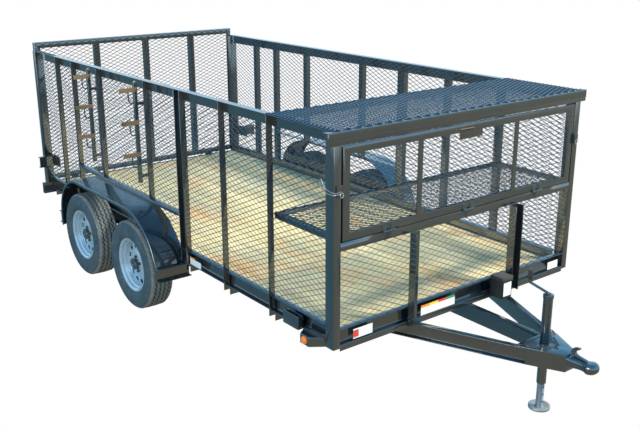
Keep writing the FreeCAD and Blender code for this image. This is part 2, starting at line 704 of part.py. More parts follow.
def gate_frame():
    """The ramp gate: a frame of angle with three bars, and the bored hinge barrels."""
    back = V(-S.section_leg, 0, 0)
    across = V(0, S.gate_width, 0)
    up = V(0, 0, S.gate_height)
    leg = S.section_leg
    wall = S.section_wall
    top = S.gate_bottom + S.gate_height
    pieces = [angle_bar(V(-S.gate_face, -gate_half, S.gate_bottom), across, back, V(0, 0, leg),
                        wall),
              angle_bar(V(-S.gate_face, -gate_half, top), across, back, V(0, 0, -leg), wall)]
    for y, way in ((-gate_half, 1), (gate_half, -1),
                   *[(share * gate_half, 1) for share in GATE_BAR_SHARES]):
        pieces.append(angle_bar(V(-S.gate_face, y, S.gate_bottom), up, back, V(0, way * leg, 0),
                                wall))
    bore = S.pin_radius + S.pin_clearance
    for share in GATE_HINGE_SHARES:
        for side in (-1, 1):
            y = share * gate_half - S.barrel_length / 2 + side * barrel_step
            end = y + S.barrel_length
            pieces.append(gate_rod(y, end, S.barrel_radius).cut(
                gate_rod(y - S.overrun, end + S.overrun, bore)))
            pieces.append(block(V(bore - S.gate_axis, y, S.gate_bottom),
                                V(-S.gate_back, end, S.gate_axis_height + S.barrel_radius)))
    return fused(*pieces)


def gate_lugs():
    """Lugs behind the sill with the fixed barrels and pins of the gate's hinges."""
    lugs = []
    for share in GATE_HINGE_SHARES:
        y = share * gate_half - S.barrel_length / 2
        end = y + S.barrel_length
        front, rear = S.barrel_radius - S.gate_axis, -S.barrel_radius - S.gate_axis
        low = S.sill_top - S.lug_wall
        lug = prism([V(-S.box_length, y, low), V(-S.box_length, y, S.sill_top),
                     V(front, y, S.sill_top), V(front, y, S.gate_axis_height),
                     V(rear, y, S.gate_axis_height), V(rear, y, low)],
                    V(0, S.barrel_length, 0))
        lugs.append(fused(lug, gate_rod(y, end, S.barrel_radius),
                          gate_rod(y - barrel_step, end + barrel_step, S.pin_radius)))
    return lugs


shaped("gate_frame", gate_frame())
shaped("gate_lugs", *gate_lugs())
shaped("gate_mesh", *mesh_panel(V(-S.gate_face, -gate_half, S.gate_bottom), V(0, 1, 0),
                                V(0, 0, 1), V(1, 0, 0), S.gate_width, S.gate_height))

# Lights and pockets


def lamp_bracket():
    """A channel beside the rear post, open to the rear round the tail light."""
    return channel_bar(V(S.section_leg - S.box_length, -S.half_body, S.lamp_bottom),
                       V(0, -S.lamp_bracket, 0), V(0, 0, S.lamp_height),
                       V(-S.rail_flange, 0, 0), S.section_wall)


def tail_light():
    middle = V(S.section_leg - S.section_wall - S.box_length,
               -S.half_body - S.lamp_bracket / 2, S.lamp_bottom + S.lamp_height / 2)
    return rod(middle, middle - V(S.rail_flange, 0, 0), S.lamp_radius)


def marker_housing():
    """A sloped-end housing beside the front post, below the rail."""
    cut = S.marker_height / 4
    front, rear = -S.marker_front, -S.marker_front - S.marker_length
    low, high = S.marker_bottom, S.marker_bottom + S.marker_height
    return prism([V(front, -S.half_body, high), V(rear, -S.half_body, high),
                  V(rear, -S.half_body, low + cut), V(rear + cut, -S.half_body, low),
                  V(front - cut, -S.half_body, low), V(front, -S.half_body, low + cut)],
                 V(0, -S.marker_depth, 0))


def marker_light():
    middle = V(-S.marker_front - S.marker_length / 2, -S.half_body - S.marker_depth,
               S.marker_bottom + S.marker_height / 2)
    return rod(middle, middle - V(0, S.lens_wall, 0), S.lens_radius)


def stake_pocket():
    """An open rectangular tube on the toes of the side rail."""
    low = V(-S.pocket_front - S.pocket_length, -S.rail_toe - S.pocket_width, S.rail_bottom)
    return square_tube(low, low + V(S.pocket_length, S.pocket_width, S.pocket_height),
                       S.section_wall)


shaped("tail_light_brackets", *both_sides(lamp_bracket()))
shaped("tail_lights", *both_sides(tail_light()))
shaped("marker_housings", *both_sides(marker_housing()))
shaped("marker_lights", *both_sides(marker_light()))
shaped("stake_pockets", *both_sides(stake_pocket()))

# Tool racks on the right wall

RACK_ARM_SHARES = (0.105, 0.795)
RACK_HOOK_SHARES = (0.27, 0.575, 0.88)
rack_inner = -fin_outer - S.rack_standoff


def rack(x):
    """A square post on two stand-offs outside of an upright."""
    height = S.rack_top - S.rack_bottom
    post = block(V(x - S.rack_post, rack_inner - S.rack_post, S.rack_bottom),
                 V(x, rack_inner, S.rack_top))
    arms = [block(V(x - S.rack_arm, rack_inner, S.rack_bottom + share * height),
                  V(x, -fin_outer, S.rack_bottom + share * height + S.rack_arm))
            for share in RACK_ARM_SHARES]
    return fused(post, *arms)


def rack_hooks(x):
    """Plate hooks on the outer face of a rack post, their ends turned up."""
    reach, rise, wall = S.hook_reach, S.hook_rise, S.hook_wall
    outline = [V(0, 0, rise), V(0, -wall, rise), V(0, -wall, wall), V(0, wall - reach, wall),
               V(0, wall - reach, rise), V(0, -reach, rise), V(0, -reach, 0), V(0, 0, 0)]
    hooks = []
    for share in RACK_HOOK_SHARES:
        corner = V(x - S.rack_post / 2 - S.hook_width / 2, rack_inner - S.rack_post,
                   S.rack_bottom + share * (S.rack_top - S.rack_bottom))
        hooks.append(prism([corner + point for point in outline], V(S.hook_width, 0, 0)))
    return hooks


racked = uprights_x[OVER_WHEELS]
shaped("tool_racks", *[rack(x) for x in racked])
shaped("rack_hooks", *[hook for x in racked for hook in rack_hooks(x)])

# Axles, springs and wheels

beam_z = S.tyre_radius - S.axle_drop
spring_y = (S.rail_web + S.rail_toe) / 2
eye_z = S.rail_bottom - S.eye_drop
LEAF_SHARES = (1, 0.72, 0.45)


def axle(x):
    """A drop axle: a straight beam below, and a plate up to each spindle."""
    plate_in = S.wheel_plane - S.rim_width / 2 - S.rim_wall
    plate_out = plate_in + S.drop_wall
    beam = rod(V(x, 0, beam_z), V(x, plate_in, beam_z), S.axle_radius)
    lower = rod(V(x, plate_in, beam_z), V(x, plate_out, beam_z), S.drop_radius)
    upper = rod(V(x, plate_in, S.tyre_radius), V(x, plate_out, S.tyre_radius), S.drop_radius)
    middle = block(V(x - S.drop_radius, plate_in, beam_z),
                   V(x + S.drop_radius, plate_out, S.tyre_radius))
    spindle = rod(V(x, plate_out, S.tyre_radius), V(x, S.wheel_plane, S.tyre_radius),
                  S.spindle_radius)
    return fused(*both_sides(fused(beam, lower, upper, middle, spindle)))


def leaf_spring(x):
    """Three leaves bowed down between two eyes, seated on the axle beam."""
    middle_z = beam_z + S.axle_radius + (len(LEAF_SHARES) - 1 / 2) * S.leaf_wall
    sag = eye_z - middle_z
    radius = (S.spring_half ** 2 + sag ** 2) / (2 * sag)
    centre = V(x, -spring_y - S.spring_width / 2, middle_z + radius)
    across = V(0, S.spring_width, 0)

    def spot(reach, turn):
        return centre + V(reach * math.sin(turn), 0, -reach * math.cos(turn))

    pieces = []
    for k, share in enumerate(LEAF_SHARES):
        near = radius + (k - 1 / 2) * S.leaf_wall
        far = near + S.leaf_wall
        turn = math.asin(share * S.spring_half / radius)
        edges = [Part.Arc(spot(near, -turn), spot(near, 0), spot(near, turn)).toShape(),
                 Part.LineSegment(spot(near, turn), spot(far, turn)).toShape(),
                 Part.Arc(spot(far, turn), spot(far, 0), spot(far, -turn)).toShape(),
                 Part.LineSegment(spot(far, -turn), spot(near, -turn)).toShape()]
        pieces.append(Part.Face(Part.Wire(edges)).extrude(across))
    for side in (-1, 1):
        eye = V(x + side * S.spring_half, centre.y, eye_z)
        pieces.append(rod(eye, eye + across, S.eye_radius))
    return fused(*pieces)


def spring_hangers():
    """The end hangers, the middle hanger and the equalizer plates of the right side."""
    gap = S.spring_width / 2 + S.seat_gap
    wall = S.hanger_wall
    half = S.hanger_half
    low = eye_z - S.eye_radius
    middle = (axles_x[0] + axles_x[1]) / 2
    pieces = [channel_bar(V(x - half, -spring_y - gap - wall, S.rail_bottom), V(2 * half, 0, 0),
                          V(0, 2 * (gap + wall), 0), V(0, 0, low - S.rail_bottom), wall)
              for x in (axles_x[0] + S.spring_half, axles_x[1] - S.spring_half)]
    pieces.append(block(V(middle - half, -spring_y - S.spring_width / 2, low),
                        V(middle + half, -spring_y + S.spring_width / 2, S.rail_bottom)))
    reach = axles_x[0] - S.spring_half - middle
    across = V(0, wall, 0)
    for y in (-spring_y - gap - wall, -spring_y + gap):
        ends = [V(middle + side * reach, y, eye_z) for side in (-1, 1)]
        bar = block(V(middle - reach, y, low), V(middle + reach, y + wall, eye_z + S.eye_radius))
        pieces.append(fused(bar, *[rod(end, end + across, S.eye_radius) for end in ends]))
    return pieces


shaped("axles", *[axle(x) for x in axles_x])
shaped("leaf_springs", *both_sides(*[leaf_spring(x) for x in axles_x]))
shaped("spring_hangers", *both_sides(*spring_hangers()))

TREAD_SHARES = ((0.37, 0), (0.37, 0.12), (0.47, 0.22), (0.5, 0.5), (0.47, 0.78), (0.41, 0.95),
                (0.33, 1))
tyre_half = [("%s * tyre_width" % share,
              "bead_radius + seat_gap + %s * (tyre_radius - bead_radius - seat_gap)" % rise)
             for share, rise in TREAD_SHARES]
TYRE_SECTION = tyre_half + [("-(%s)" % u, r) for u, r in reversed(tyre_half)]

DISC_SHARES = ((0.55, 0.955), (0.65, 0.79), (0.6, 0.6))
disc_front = [("%s * rim_width / 2" % share, "%s * bead_radius" % rise)
              for share, rise in DISC_SHARES] + [("disc_face", "bead_radius / 2")]
disc_back = [("%s - rim_wall" % u, "%s - rim_wall" % (r if k else "bead_radius"))
             for k, (u, r) in enumerate(disc_front)]
HUB_SECTION = [
    ("disc_face - rim_wall", "hub_radius"), ("-rim_width / 4", "hub_radius"),
    ("-rim_width / 4", "spindle_radius + bearing_clearance"),
    ("rim_wall", "spindle_radius + bearing_clearance"), ("rim_wall", "0"), ("cap_reach", "0"),
    ("cap_reach", "cap_radius - rim_wall"), ("cap_reach - rim_wall", "cap_radius"),
    ("disc_face", "cap_radius")]
RIM_SECTION = [
    ("rim_width / 2", "bead_radius + rim_lip"),
    ("rim_width / 2 - rim_wall", "bead_radius + rim_lip"),
    ("rim_width / 2 - rim_wall", "bead_radius"), ("rim_wall - rim_width / 2", "bead_radius"),
    ("rim_wall - rim_width / 2", "bead_radius + rim_lip"),
    ("-rim_width / 2", "bead_radius + rim_lip"), ("-rim_width / 2", "bead_radius - rim_wall"),
    *disc_back, *HUB_SECTION, *reversed(disc_front),
    ("rim_width / 2 - rim_wall", "bead_radius - rim_wall"),
    ("rim_width / 2", "bead_radius - rim_wall / 2")]
VENT_COUNT = 8


def vents():
    """Slots with round ends that stand round the disc of the left front wheel."""
    centre = V(0, 0, S.bead_radius * (DISC_SHARES[0][1] + DISC_SHARES[2][1]) / 2)
    side = V(S.vent_length / 2, 0, 0)
    deep = V(0, S.rim_width / 2, 0)
    rise = V(0, 0, S.vent_radius)
    slot = fused(rod(centre - side, centre - side + deep, S.vent_radius),
                 rod(centre + side, centre + side + deep, S.vent_radius),
                 block(centre - side - rise, centre + side + deep + rise))
    slots = []
    for k in range(VENT_COUNT):
        turned = slot.copy()
        turned.rotate(V(0, 0, 0), V(0, 1, 0), 360 * k / VENT_COUNT)
        slots.append(turned)
    whole = Part.makeCompound(slots)
    whole.translate(V(-S.front_axle, S.wheel_plane, S.tyre_radius))
    return whole


wheel_at = ("-front_axle", "wheel_plane", "tyre_radius")
tyre = turned_body("tyre", TYRE_SECTION, wheel_at)
vent_slots = doc.addObject("Part::Feature", "vent_slots")
vent_slots.Shape = vents()
rim = doc.addObject("Part::Cut", "rim")
rim.Base = turned_body("rim_blank", RIM_SECTION, wheel_at)
rim.Tool = vent_slots
for kind, left in (("tyre", tyre), ("rim", rim)):
    for hand, source in (("left", left), ("right", mirrored(left, kind + "_right"))):
        for axle_name, back in (("front", "0"), ("rear", "-axle_spacing")):
            label = "_".join((kind, axle_name, hand))
            wheel = doc.addObject("Part::Compound", label)
            wheel.Links = [source]
            places[label] = back
            keep(wheel, label)

# Tongue

tongue_slope = (S.tongue_root - S.tongue_width) / 2 / S.tongue_front
tongue_low = S.tongue_top - S.rail_depth


def tongue_toe(x):
    """Distance of the tongue channels' toes from the centre line, along the trailer."""
    return S.tongue_root / 2 - tongue_slope * x


def tongue_rail():
    """The right channel of the A-frame, from the first crossmember to the nose."""
    rear = -S.bay_length
    run = V(S.tongue_front - rear, tongue_toe(rear) - tongue_toe(S.tongue_front), 0)
    inward = V(-run.y, run.x, 0).normalize() * S.rail_flange
    start = V(rear, -tongue_toe(rear), tongue_low)
    bar = channel_bar(start + inward, run, V(0, 0, S.rail_depth), -inward, S.rail_wall)
    return bar.cut(block(V(rear - S.bay_length, -S.half_body, 0), V(rear, 0, S.rail_bottom)))


def tongue_nose():
    """Side plates, end plate and jack plate that close the front of the A-frame."""
    rise = V(0, 0, S.rail_depth)
    half = S.nose_width / 2
    back_x = S.tongue_front + S.seat_gap
    back_y = tongue_toe(S.tongue_front)
    wall = S.nose_wall
    pieces = []
    for side in (-1, 1):
        pieces.append(prism([V(back_x, side * back_y, tongue_low),
                             V(S.nose_front, side * half, tongue_low),
                             V(S.nose_front, side * (half - wall), tongue_low),
                             V(back_x, side * (back_y - wall), tongue_low)], rise))
    pieces.append(block(V(S.nose_front - wall, -half, tongue_low),
                        V(S.nose_front, half, S.tongue_top)))
    rear_x = S.jack_reach - 3 * S.jack_radius
    right = [V(rear_x, -tongue_toe(rear_x), S.tongue_top), V(back_x, -back_y, S.tongue_top),
             V(S.nose_front, -half, S.tongue_top)]
    left = [V(point.x, -point.y, point.z) for point in reversed(right)]
    plate = prism([*right, *left], V(0, 0, wall))
    hole = rod(V(S.jack_reach, 0, S.tongue_top - S.overrun), V(S.jack_reach, 0, S.wall_top),
               S.jack_radius + S.seat_gap)
    return fused(*pieces, plate).cut(hole)


def tongue_spine():
    """The channel down the middle of the A-frame, beside the jack."""
    run = S.bay_length + S.jack_reach - 2 * S.jack_radius
    return channel_bar(V(-S.bay_length, S.spine_offset, tongue_low), V(run, 0, 0),
                       V(0, 0, S.rail_depth), V(0, S.rail_flange, 0), S.rail_wall)


def coupler():
    """A tapered neck and a round head with the mouth for the ball."""
    low = S.tongue_top - S.coupler_depth
    rise = V(0, 0, S.coupler_depth)
    neck = prism([V(S.nose_front, -S.nose_width / 2, low), V(S.nose_front, S.nose_width / 2, low),
                  V(S.ball_centre, S.coupler_width / 2, low),
                  V(S.ball_centre, -S.coupler_width / 2, low)], rise)
    centre = V(S.ball_centre, 0, low)
    mouth = rod(centre - V(0, 0, S.overrun), centre + V(0, 0, S.socket_depth), S.socket_radius)
    return fused(neck, rod(centre, centre + rise, S.dome_radius)).cut(mouth)


def coupler_latch():
    """A bent handle on top of the coupler's neck."""
    wall = S.latch_wall
    low, high = S.tongue_top, S.tongue_top + S.latch_height
    rear, ahead = S.nose_front + wall, S.ball_centre - wall
    return prism([V(ahead, -wall / 2, low), V(ahead, -wall / 2, low + wall),
                  V(rear + 2 * wall, -wall / 2, low + wall),
                  V(rear + wall, -wall / 2, high), V(rear - wall, -wall / 2, high),
                  V(rear - wall, -wall / 2, high - wall), V(rear, -wall / 2, high - wall),
                  V(rear + wall, -wall / 2, low)], V(0, wall, 0))


shaped("tongue_rails", *both_sides(tongue_rail()))
shaped("tongue_nose", tongue_nose())
shaped("tongue_spine", tongue_spine())
shaped("coupler", coupler())
shaped("coupler_latch", coupler_latch())

# Jack and battery box


def jack_rod(low, high, radius):
    """A round piece on the jack's axis."""
    return rod(V(S.jack_reach, 0, low), V(S.jack_reach, 0, high), radius)


def jack_tube():
    """The outer tube, bored from below, under its wider cap."""
    bore = jack_rod(S.jack_bottom - S.overrun, S.jack_top - S.jack_cap,
                    S.leg_radius + S.leg_gap)
    return fused(jack_rod(S.jack_bottom, S.jack_top, S.jack_radius),
                 jack_rod(S.jack_top, S.jack_top + S.jack_cap,
                          S.jack_radius + S.cap_rim)).cut(bore)


def jack_leg():
    """The inner tube on its dished foot."""
    dish = Part.makeCone(S.leg_radius, S.foot_radius - S.foot_wall,
                         S.foot_rim - S.foot_wall + S.overrun,
                         V(S.jack_reach, 0, S.foot_wall))
    bore = jack_rod(S.foot_wall, S.leg_height + S.overrun, S.leg_radius - S.leg_wall)
    return fused(jack_rod(0, S.foot_rim, S.foot_radius).cut(dish),
                 jack_rod(0, S.leg_height, S.leg_radius)).cut(bore)


def jack_crank():
    """A rod bent back from the cap and up into a grip."""
    start = V(S.jack_reach, 0, S.jack_top + S.jack_cap)
    bend = start + V(0, 0, S.crank_radius)
    far = start + V(-S.crank_reach, 0, S.crank_rise)
    bends = [Part.makeSphere(S.crank_radius, spot) for spot in (bend, far)]
    return fused(rod(start, bend, S.crank_radius), rod(bend, far, S.crank_radius), *bends,
                 rod(far, far + V(0, 0, S.grip_height), S.grip_radius))


def battery_box():
    """A lidded box and the bent tray that carries it on the front crossmember."""
    low = S.rail_bottom - S.tongue_drop / 2
    start = V(S.tray_wall, S.battery_place, low + S.tray_wall)
    end = start + V(S.battery_length, S.battery_width, S.battery_height)
    side = V(0, S.tray_wall, 0)
    lid = block(start - side + V(0, 0, S.battery_height * 3 / 4),
                end + side + V(S.tray_wall, 0, 0))
    tray = angle_bar(V(0, S.battery_place, low), V(0, S.battery_width, 0),
                     V(S.battery_length + S.tray_wall, 0, 0), V(0, 0, S.rail_depth / 2),
                     S.tray_wall)
    return fused(block(start, end), lid, tray)


shaped("jack_tube", jack_tube())
shaped("jack_leg", jack_leg())
shaped("jack_crank", jack_crank())
shaped("battery_box", battery_box())

# Check every object, then write one file for each piece

doc.recompute()
for obj in doc.Objects:
    if "Invalid" in obj.State or "Error" in obj.State:
        raise RuntimeError("%s failed: %s" % (obj.Label, obj.State))
os.makedirs("parts", exist_ok=True)
for label, obj in nodes.items():
    shape = obj.Shape
    if shape.isNull() or not shape.isValid():
        raise RuntimeError("%s has no valid shape" % label)
    shape.exportStep("parts/%s.step" % label)
print("pieces", len(nodes))
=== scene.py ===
import json
import logging
import math
from dataclasses import dataclass, field
from enum import Enum

import bpy
import numpy as np
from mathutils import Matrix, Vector


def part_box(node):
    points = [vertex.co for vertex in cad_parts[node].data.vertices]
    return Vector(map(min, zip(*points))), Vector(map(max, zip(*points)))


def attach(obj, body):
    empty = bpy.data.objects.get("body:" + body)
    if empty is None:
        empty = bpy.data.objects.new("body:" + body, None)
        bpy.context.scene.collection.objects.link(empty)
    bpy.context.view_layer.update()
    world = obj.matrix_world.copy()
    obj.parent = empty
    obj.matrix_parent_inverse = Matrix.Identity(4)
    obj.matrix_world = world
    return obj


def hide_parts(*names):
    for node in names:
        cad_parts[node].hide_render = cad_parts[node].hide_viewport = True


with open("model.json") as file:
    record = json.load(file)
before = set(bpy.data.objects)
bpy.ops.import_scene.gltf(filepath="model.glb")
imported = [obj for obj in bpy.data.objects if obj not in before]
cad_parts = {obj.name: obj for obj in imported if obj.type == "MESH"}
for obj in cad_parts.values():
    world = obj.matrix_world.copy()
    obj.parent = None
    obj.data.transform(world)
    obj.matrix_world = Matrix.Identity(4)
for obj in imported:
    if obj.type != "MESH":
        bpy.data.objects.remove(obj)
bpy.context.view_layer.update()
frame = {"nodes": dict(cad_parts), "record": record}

# A black landscape trailer on a white ground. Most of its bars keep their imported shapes. The
# expanded metal, top rails, front stakes, fenders, wheels, lamps, racks, coupler and small
# fittings are modelled here in full. Lengths are in metres.

LOG = logging.getLogger("trailer")
CHASSIS = "chassis"
POLE = 1e-5  # radius of a turned form where it closes on its axis
BAR_EDGE = 0.0015  # width of the eased edges of small bars
RAIL_EDGE = 0.0018  # and of the frame's bars
BEVEL_ANGLE = 40.0  # edges sharper than this are eased, in degrees
SMOOTH_ANGLE = 32.0  # edges flatter than this are shaded smooth, in degrees

# What a function takes as a point, as rows of points or as a list of names.
Rows = tuple | list | np.ndarray | Vector
# What an input of a node takes: a plain number, a colour or another node's output.
Value = float | tuple | bpy.types.NodeSocket


class Axis(Enum):
    """Directions of the row frame."""

    X = (1.0, 0.0, 0.0)
    Y = (0.0, 1.0, 0.0)
    Z = (0.0, 0.0, 1.0)

    @property
    def array(self) -> np.ndarray:
        """The direction as an array."""
        return np.array(self.value)


@dataclass(frozen=True)
class Form:
    """The surface of a piece: its points, and its faces as arrays of like-sized rows."""

    points: np.ndarray
    faces: tuple

    def outward(self) -> "Form":
        """The same closed form with its faces turned outwards.

        Six times its volume is the sum over its triangles of a . (b x c), which is below zero
        where the faces point in.

        Returns:
            This form, or one with all its faces turned round.
        """
        spots = self.points - self.points.mean(0)
        volume = sum(float((spots[rows[:, :1]]
                            * np.cross(spots[rows[:, 1:-1]], spots[rows[:, 2:]])).sum())
                     for rows in self.faces)
        if volume >= 0:
            return self
        return Form(self.points, tuple(rows[:, ::-1] for rows in self.faces))


def joined(forms: list[Form]) -> Form:
    """Put several forms into one, each with its own points.

    Args:
        forms: The forms to join.

    Returns:
        One form with all points and faces.
    """
    starts = np.cumsum([0, *[len(form.points) for form in forms[:-1]]])
    faces = [rows + start for form, start in zip(forms, starts) for rows in form.faces]
    return Form(np.concatenate([form.points for form in forms]), tuple(faces))


def grid_faces(rows: int, columns: int, wrap_rows: bool = False,
               wrap_columns: bool = False) -> np.ndarray:
    """Quads of a grid whose point (i, j) is number i * columns + j.

    Args:
        rows: Points down the grid.
        columns: Points along each row.
        wrap_rows: Whether the last row joins the first.
        wrap_columns: Whether the last column joins the first.

    Returns:
        An array of quads.
    """
    i = np.arange(rows if wrap_rows else rows - 1)[:, None]
    j = np.arange(columns if wrap_columns else columns - 1)[None, :]
    below, beside = (i + 1) % rows, (j + 1) % columns
    quads = np.stack([i * columns + j, below * columns + j, below * columns + beside,
                      i * columns + beside], axis=-1)
    return quads.reshape(-1, 4)


def turns(steps: int) -> np.ndarray:
    """Evenly spaced angles of a full turn."""
    return np.linspace(0, 2 * math.pi, steps, endpoint=False)


def block(low: Rows, high: Rows) -> Form:
    """A box from its lowest to its highest corner.

    Args:
        low: Lowest corner.
        high: Highest corner.

    Returns:
        The box's form, its faces outwards.
    """
    low, high = np.asarray(low, float), np.asarray(high, float)
    pick = np.array([[0, 0, 0], [1, 0, 0], [1, 1, 0], [0, 1, 0],
                     [0, 0, 1], [1, 0, 1], [1, 1, 1], [0, 1, 1]])
    quads = np.array([[0, 3, 2, 1], [4, 5, 6, 7], [0, 1, 5, 4], [1, 2, 6, 5], [2, 3, 7, 6],
                      [3, 0, 4, 7]])
    return Form(low + pick * (high - low), (quads,))


def lathe(profile: Rows, centre: Rows, axis: Axis, steps: int = 48) -> Form:
    """A closed outline turned about an axis.

    A point (a, r) of the outline stands a along the axis and r beside it; its ring holds the
    points centre + a * axis + r * (cos t * u + sin t * v) for the turns t.

    Args:
        profile: Rows of distance along the axis and radius.
        centre: A point on the axis.
        axis: The axis.
        steps: Points of each ring.

    Returns:
        The turned form.
    """
    profile = np.asarray(profile, float)
    along = axis.array
    u = np.roll(along, 1)
    v = np.cross(along, u)
    turn = turns(steps)
    ring = np.cos(turn)[:, None] * u + np.sin(turn)[:, None] * v
    points = (np.asarray(centre, float) + profile[:, 0, None, None] * along
              + profile[:, 1, None, None] * ring[None])
    faces = grid_faces(len(profile), steps, wrap_rows=True, wrap_columns=True)
    return Form(points.reshape(-1, 3), (faces,)).outward()


def tube(path: Rows, radius: float, sides: int = 10, closed: bool = False) -> Form:
    """A round tube along a line of points.

    Each ring stands across the line's mean direction at its point, and its own two directions
    are carried on from the ring before by taking out what lies along the line.

    Args:
        path: Rows of points.
        radius: Radius of the tube.
        sides: Points of each ring.
        closed: Whether the line ends where it starts.

    Returns:
        The tube's form.
    """
    path = np.asarray(path, float)
    ahead = np.roll(path, -1, 0) - path
    behind = path - np.roll(path, 1, 0)
    if not closed:
        ahead[-1], behind[0] = behind[-1], ahead[0]
    way = ahead / np.linalg.norm(ahead, axis=1)[:, None]
    way = way + behind / np.linalg.norm(behind, axis=1)[:, None]
    way /= np.linalg.norm(way, axis=1)[:, None]
    side = np.eye(3)[np.argmin(np.abs(way[0]))]
    sides_u = np.empty_like(path)
    for k, direction in enumerate(way):
        side = side - direction * (side @ direction)
        side /= np.linalg.norm(side)
        sides_u[k] = side
    sides_v = np.cross(way, sides_u)
    turn = turns(sides)
    points = (path[:, None] + radius * (np.cos(turn)[None, :, None] * sides_u[:, None]
                                        + np.sin(turn)[None, :, None] * sides_v[:, None]))
    faces = [grid_faces(len(path), sides, wrap_rows=closed, wrap_columns=True)]
    if not closed:
        end = np.arange(sides)[None]
        faces += [end, end[:, ::-1] + (len(path) - 1) * sides]
    return Form(points.reshape(-1, 3), tuple(faces)).outward()


def rounded_line(points: Rows, rounds: int = 2, closed: bool = False) -> np.ndarray:
    """Cut the corners of a line again and again until it looks round.

    Each round puts two points on each straight run, a quarter and three quarters along it.

    Args:
        points: Rows of points.
        rounds: How often the corners are cut.
        closed: Whether the line is a loop.

    Returns:
        The rounded line, through the same ends if it is open.
    """
    line = np.asarray(points, float)
    for _ in range(rounds):
        after = np.roll(line, -1, 0) if closed else line[1:]
        before = line if closed else line[:-1]
        cut = np.stack([before * 0.75 + after * 0.25, before * 0.25 + after * 0.75], axis=1)
        cut = cut.reshape(-1, line.shape[1])
        line = cut if closed else np.concatenate([line[:1], cut, line[-1:]])
    return line


def plate(outline: Rows, run: Rows) -> Form:
    """A flat outline carried along a vector.

    Args:
        outline: Rows of points of a flat loop.
        run: The vector that the outline is carried along.

    Returns:
        The plate's form.
    """
    outline = np.asarray(outline, float)
    count = len(outline)
    points = np.concatenate([outline, outline + np.asarray(run, float)])
    sides = grid_faces(2, count, wrap_columns=True)
    end = np.arange(count)[None]
    return Form(points, (sides, end, end[:, ::-1] + count)).outward()


class Mirror(Enum):
    """The two hands of the trailer."""

    LEFT = 1.0
    RIGHT = -1.0

    @property
    def word(self) -> str:
        """The hand as the names of pieces say it."""
        return self.name.lower()

    def block(self, low: Rows, high: Rows) -> Form:
        """A box on this side, from its corners on the left side."""
        spots = self.spot([low, high])
        return block(spots.min(0), spots.max(0))

    def spot(self, left: Rows) -> np.ndarray:
        """Points on this side, from their places on the left side."""
        return np.array(left, float) * [1.0, self.value, 1.0]


def both_hands(boxes: list) -> Form:
    """Boxes on both sides of the trailer.

    Args:
        boxes: Pairs of a lowest and a highest corner on the left side.

    Returns:
        One form with each box and its mirror image.
    """
    return joined([hand.block(low, high) for hand in Mirror for low, high in boxes])


def soften(obj: bpy.types.Object, width: float) -> None:
    """Round the sharp edges of an object's mesh.

    Args:
        obj: The object.
        width: Width of the eased edges in metres.
    """
    soft = obj.modifiers.new("soft_edges", "BEVEL")
    soft.width = width
    soft.segments = 2
    soft.limit_method = "ANGLE"
    soft.angle_limit = math.radians(BEVEL_ANGLE)
    soft.use_clamp_overlap = True
    soft.harden_normals = False


def piece(name: str, form: Form, material: bpy.types.Material, body: str = CHASSIS,
          stands_for: Rows = (), soft_angle: float = SMOOTH_ANGLE,
          edge: float = 0.0, zone: tuple | None = None) -> None:
    """Make an object of a form, give it a finish and let it ride on a body.

    Args:
        name: Name of the piece.
        form: Its surface.
        material: Its finish.
        body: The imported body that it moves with.
        stands_for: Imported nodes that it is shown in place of.
        soft_angle: Edges flatter than this are shaded smooth, in degrees.
        edge: Width of its eased edges in metres, or 0 for sharp ones.
        zone: A second finish and, for each face, whether it has that finish.
    """
    mesh = bpy.data.meshes.new(name)
    sizes = np.concatenate([np.full(len(rows), rows.shape[1]) for rows in form.faces])
    corners = np.concatenate([rows.ravel() for rows in form.faces]).astype(np.int32)
    starts = np.concatenate([[0], np.cumsum(sizes)[:-1]]).astype(np.int32)
    mesh.vertices.add(len(form.points))
    mesh.vertices.foreach_set("co", form.points.astype(np.float32).ravel())
    mesh.loops.add(len(corners))
    mesh.loops.foreach_set("vertex_index", corners)
    mesh.polygons.add(len(sizes))
    mesh.polygons.foreach_set("loop_start", starts)
    mesh.update(calc_edges=True)
    shade(mesh, soft_angle)
    mesh.materials.append(material)
    if zone:
        mesh.materials.append(zone[0])
        mesh.polygons.foreach_set("material_index", zone[1].astype(np.int32))
    made = bpy.data.objects.new(name, mesh)
    bpy.context.scene.collection.objects.link(made)
    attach(made, body)
    if stands_for:
        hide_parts(*stands_for)
    if edge:
        soften(made, edge)
    LOG.info("piece %s: %d faces", name, len(sizes))


def shade(mesh: bpy.types.Mesh, soft_angle: float) -> None:
    """Shade a mesh smooth apart from its sharp edges.

    Args:
        mesh: The mesh.
        soft_angle: Edges flatter than this are smooth, in degrees.
    """
    mesh.polygons.foreach_set("use_smooth", np.ones(len(mesh.polygons), bool))
    mesh.set_sharp_from_angle(angle=math.radians(soft_angle))


# Finishes


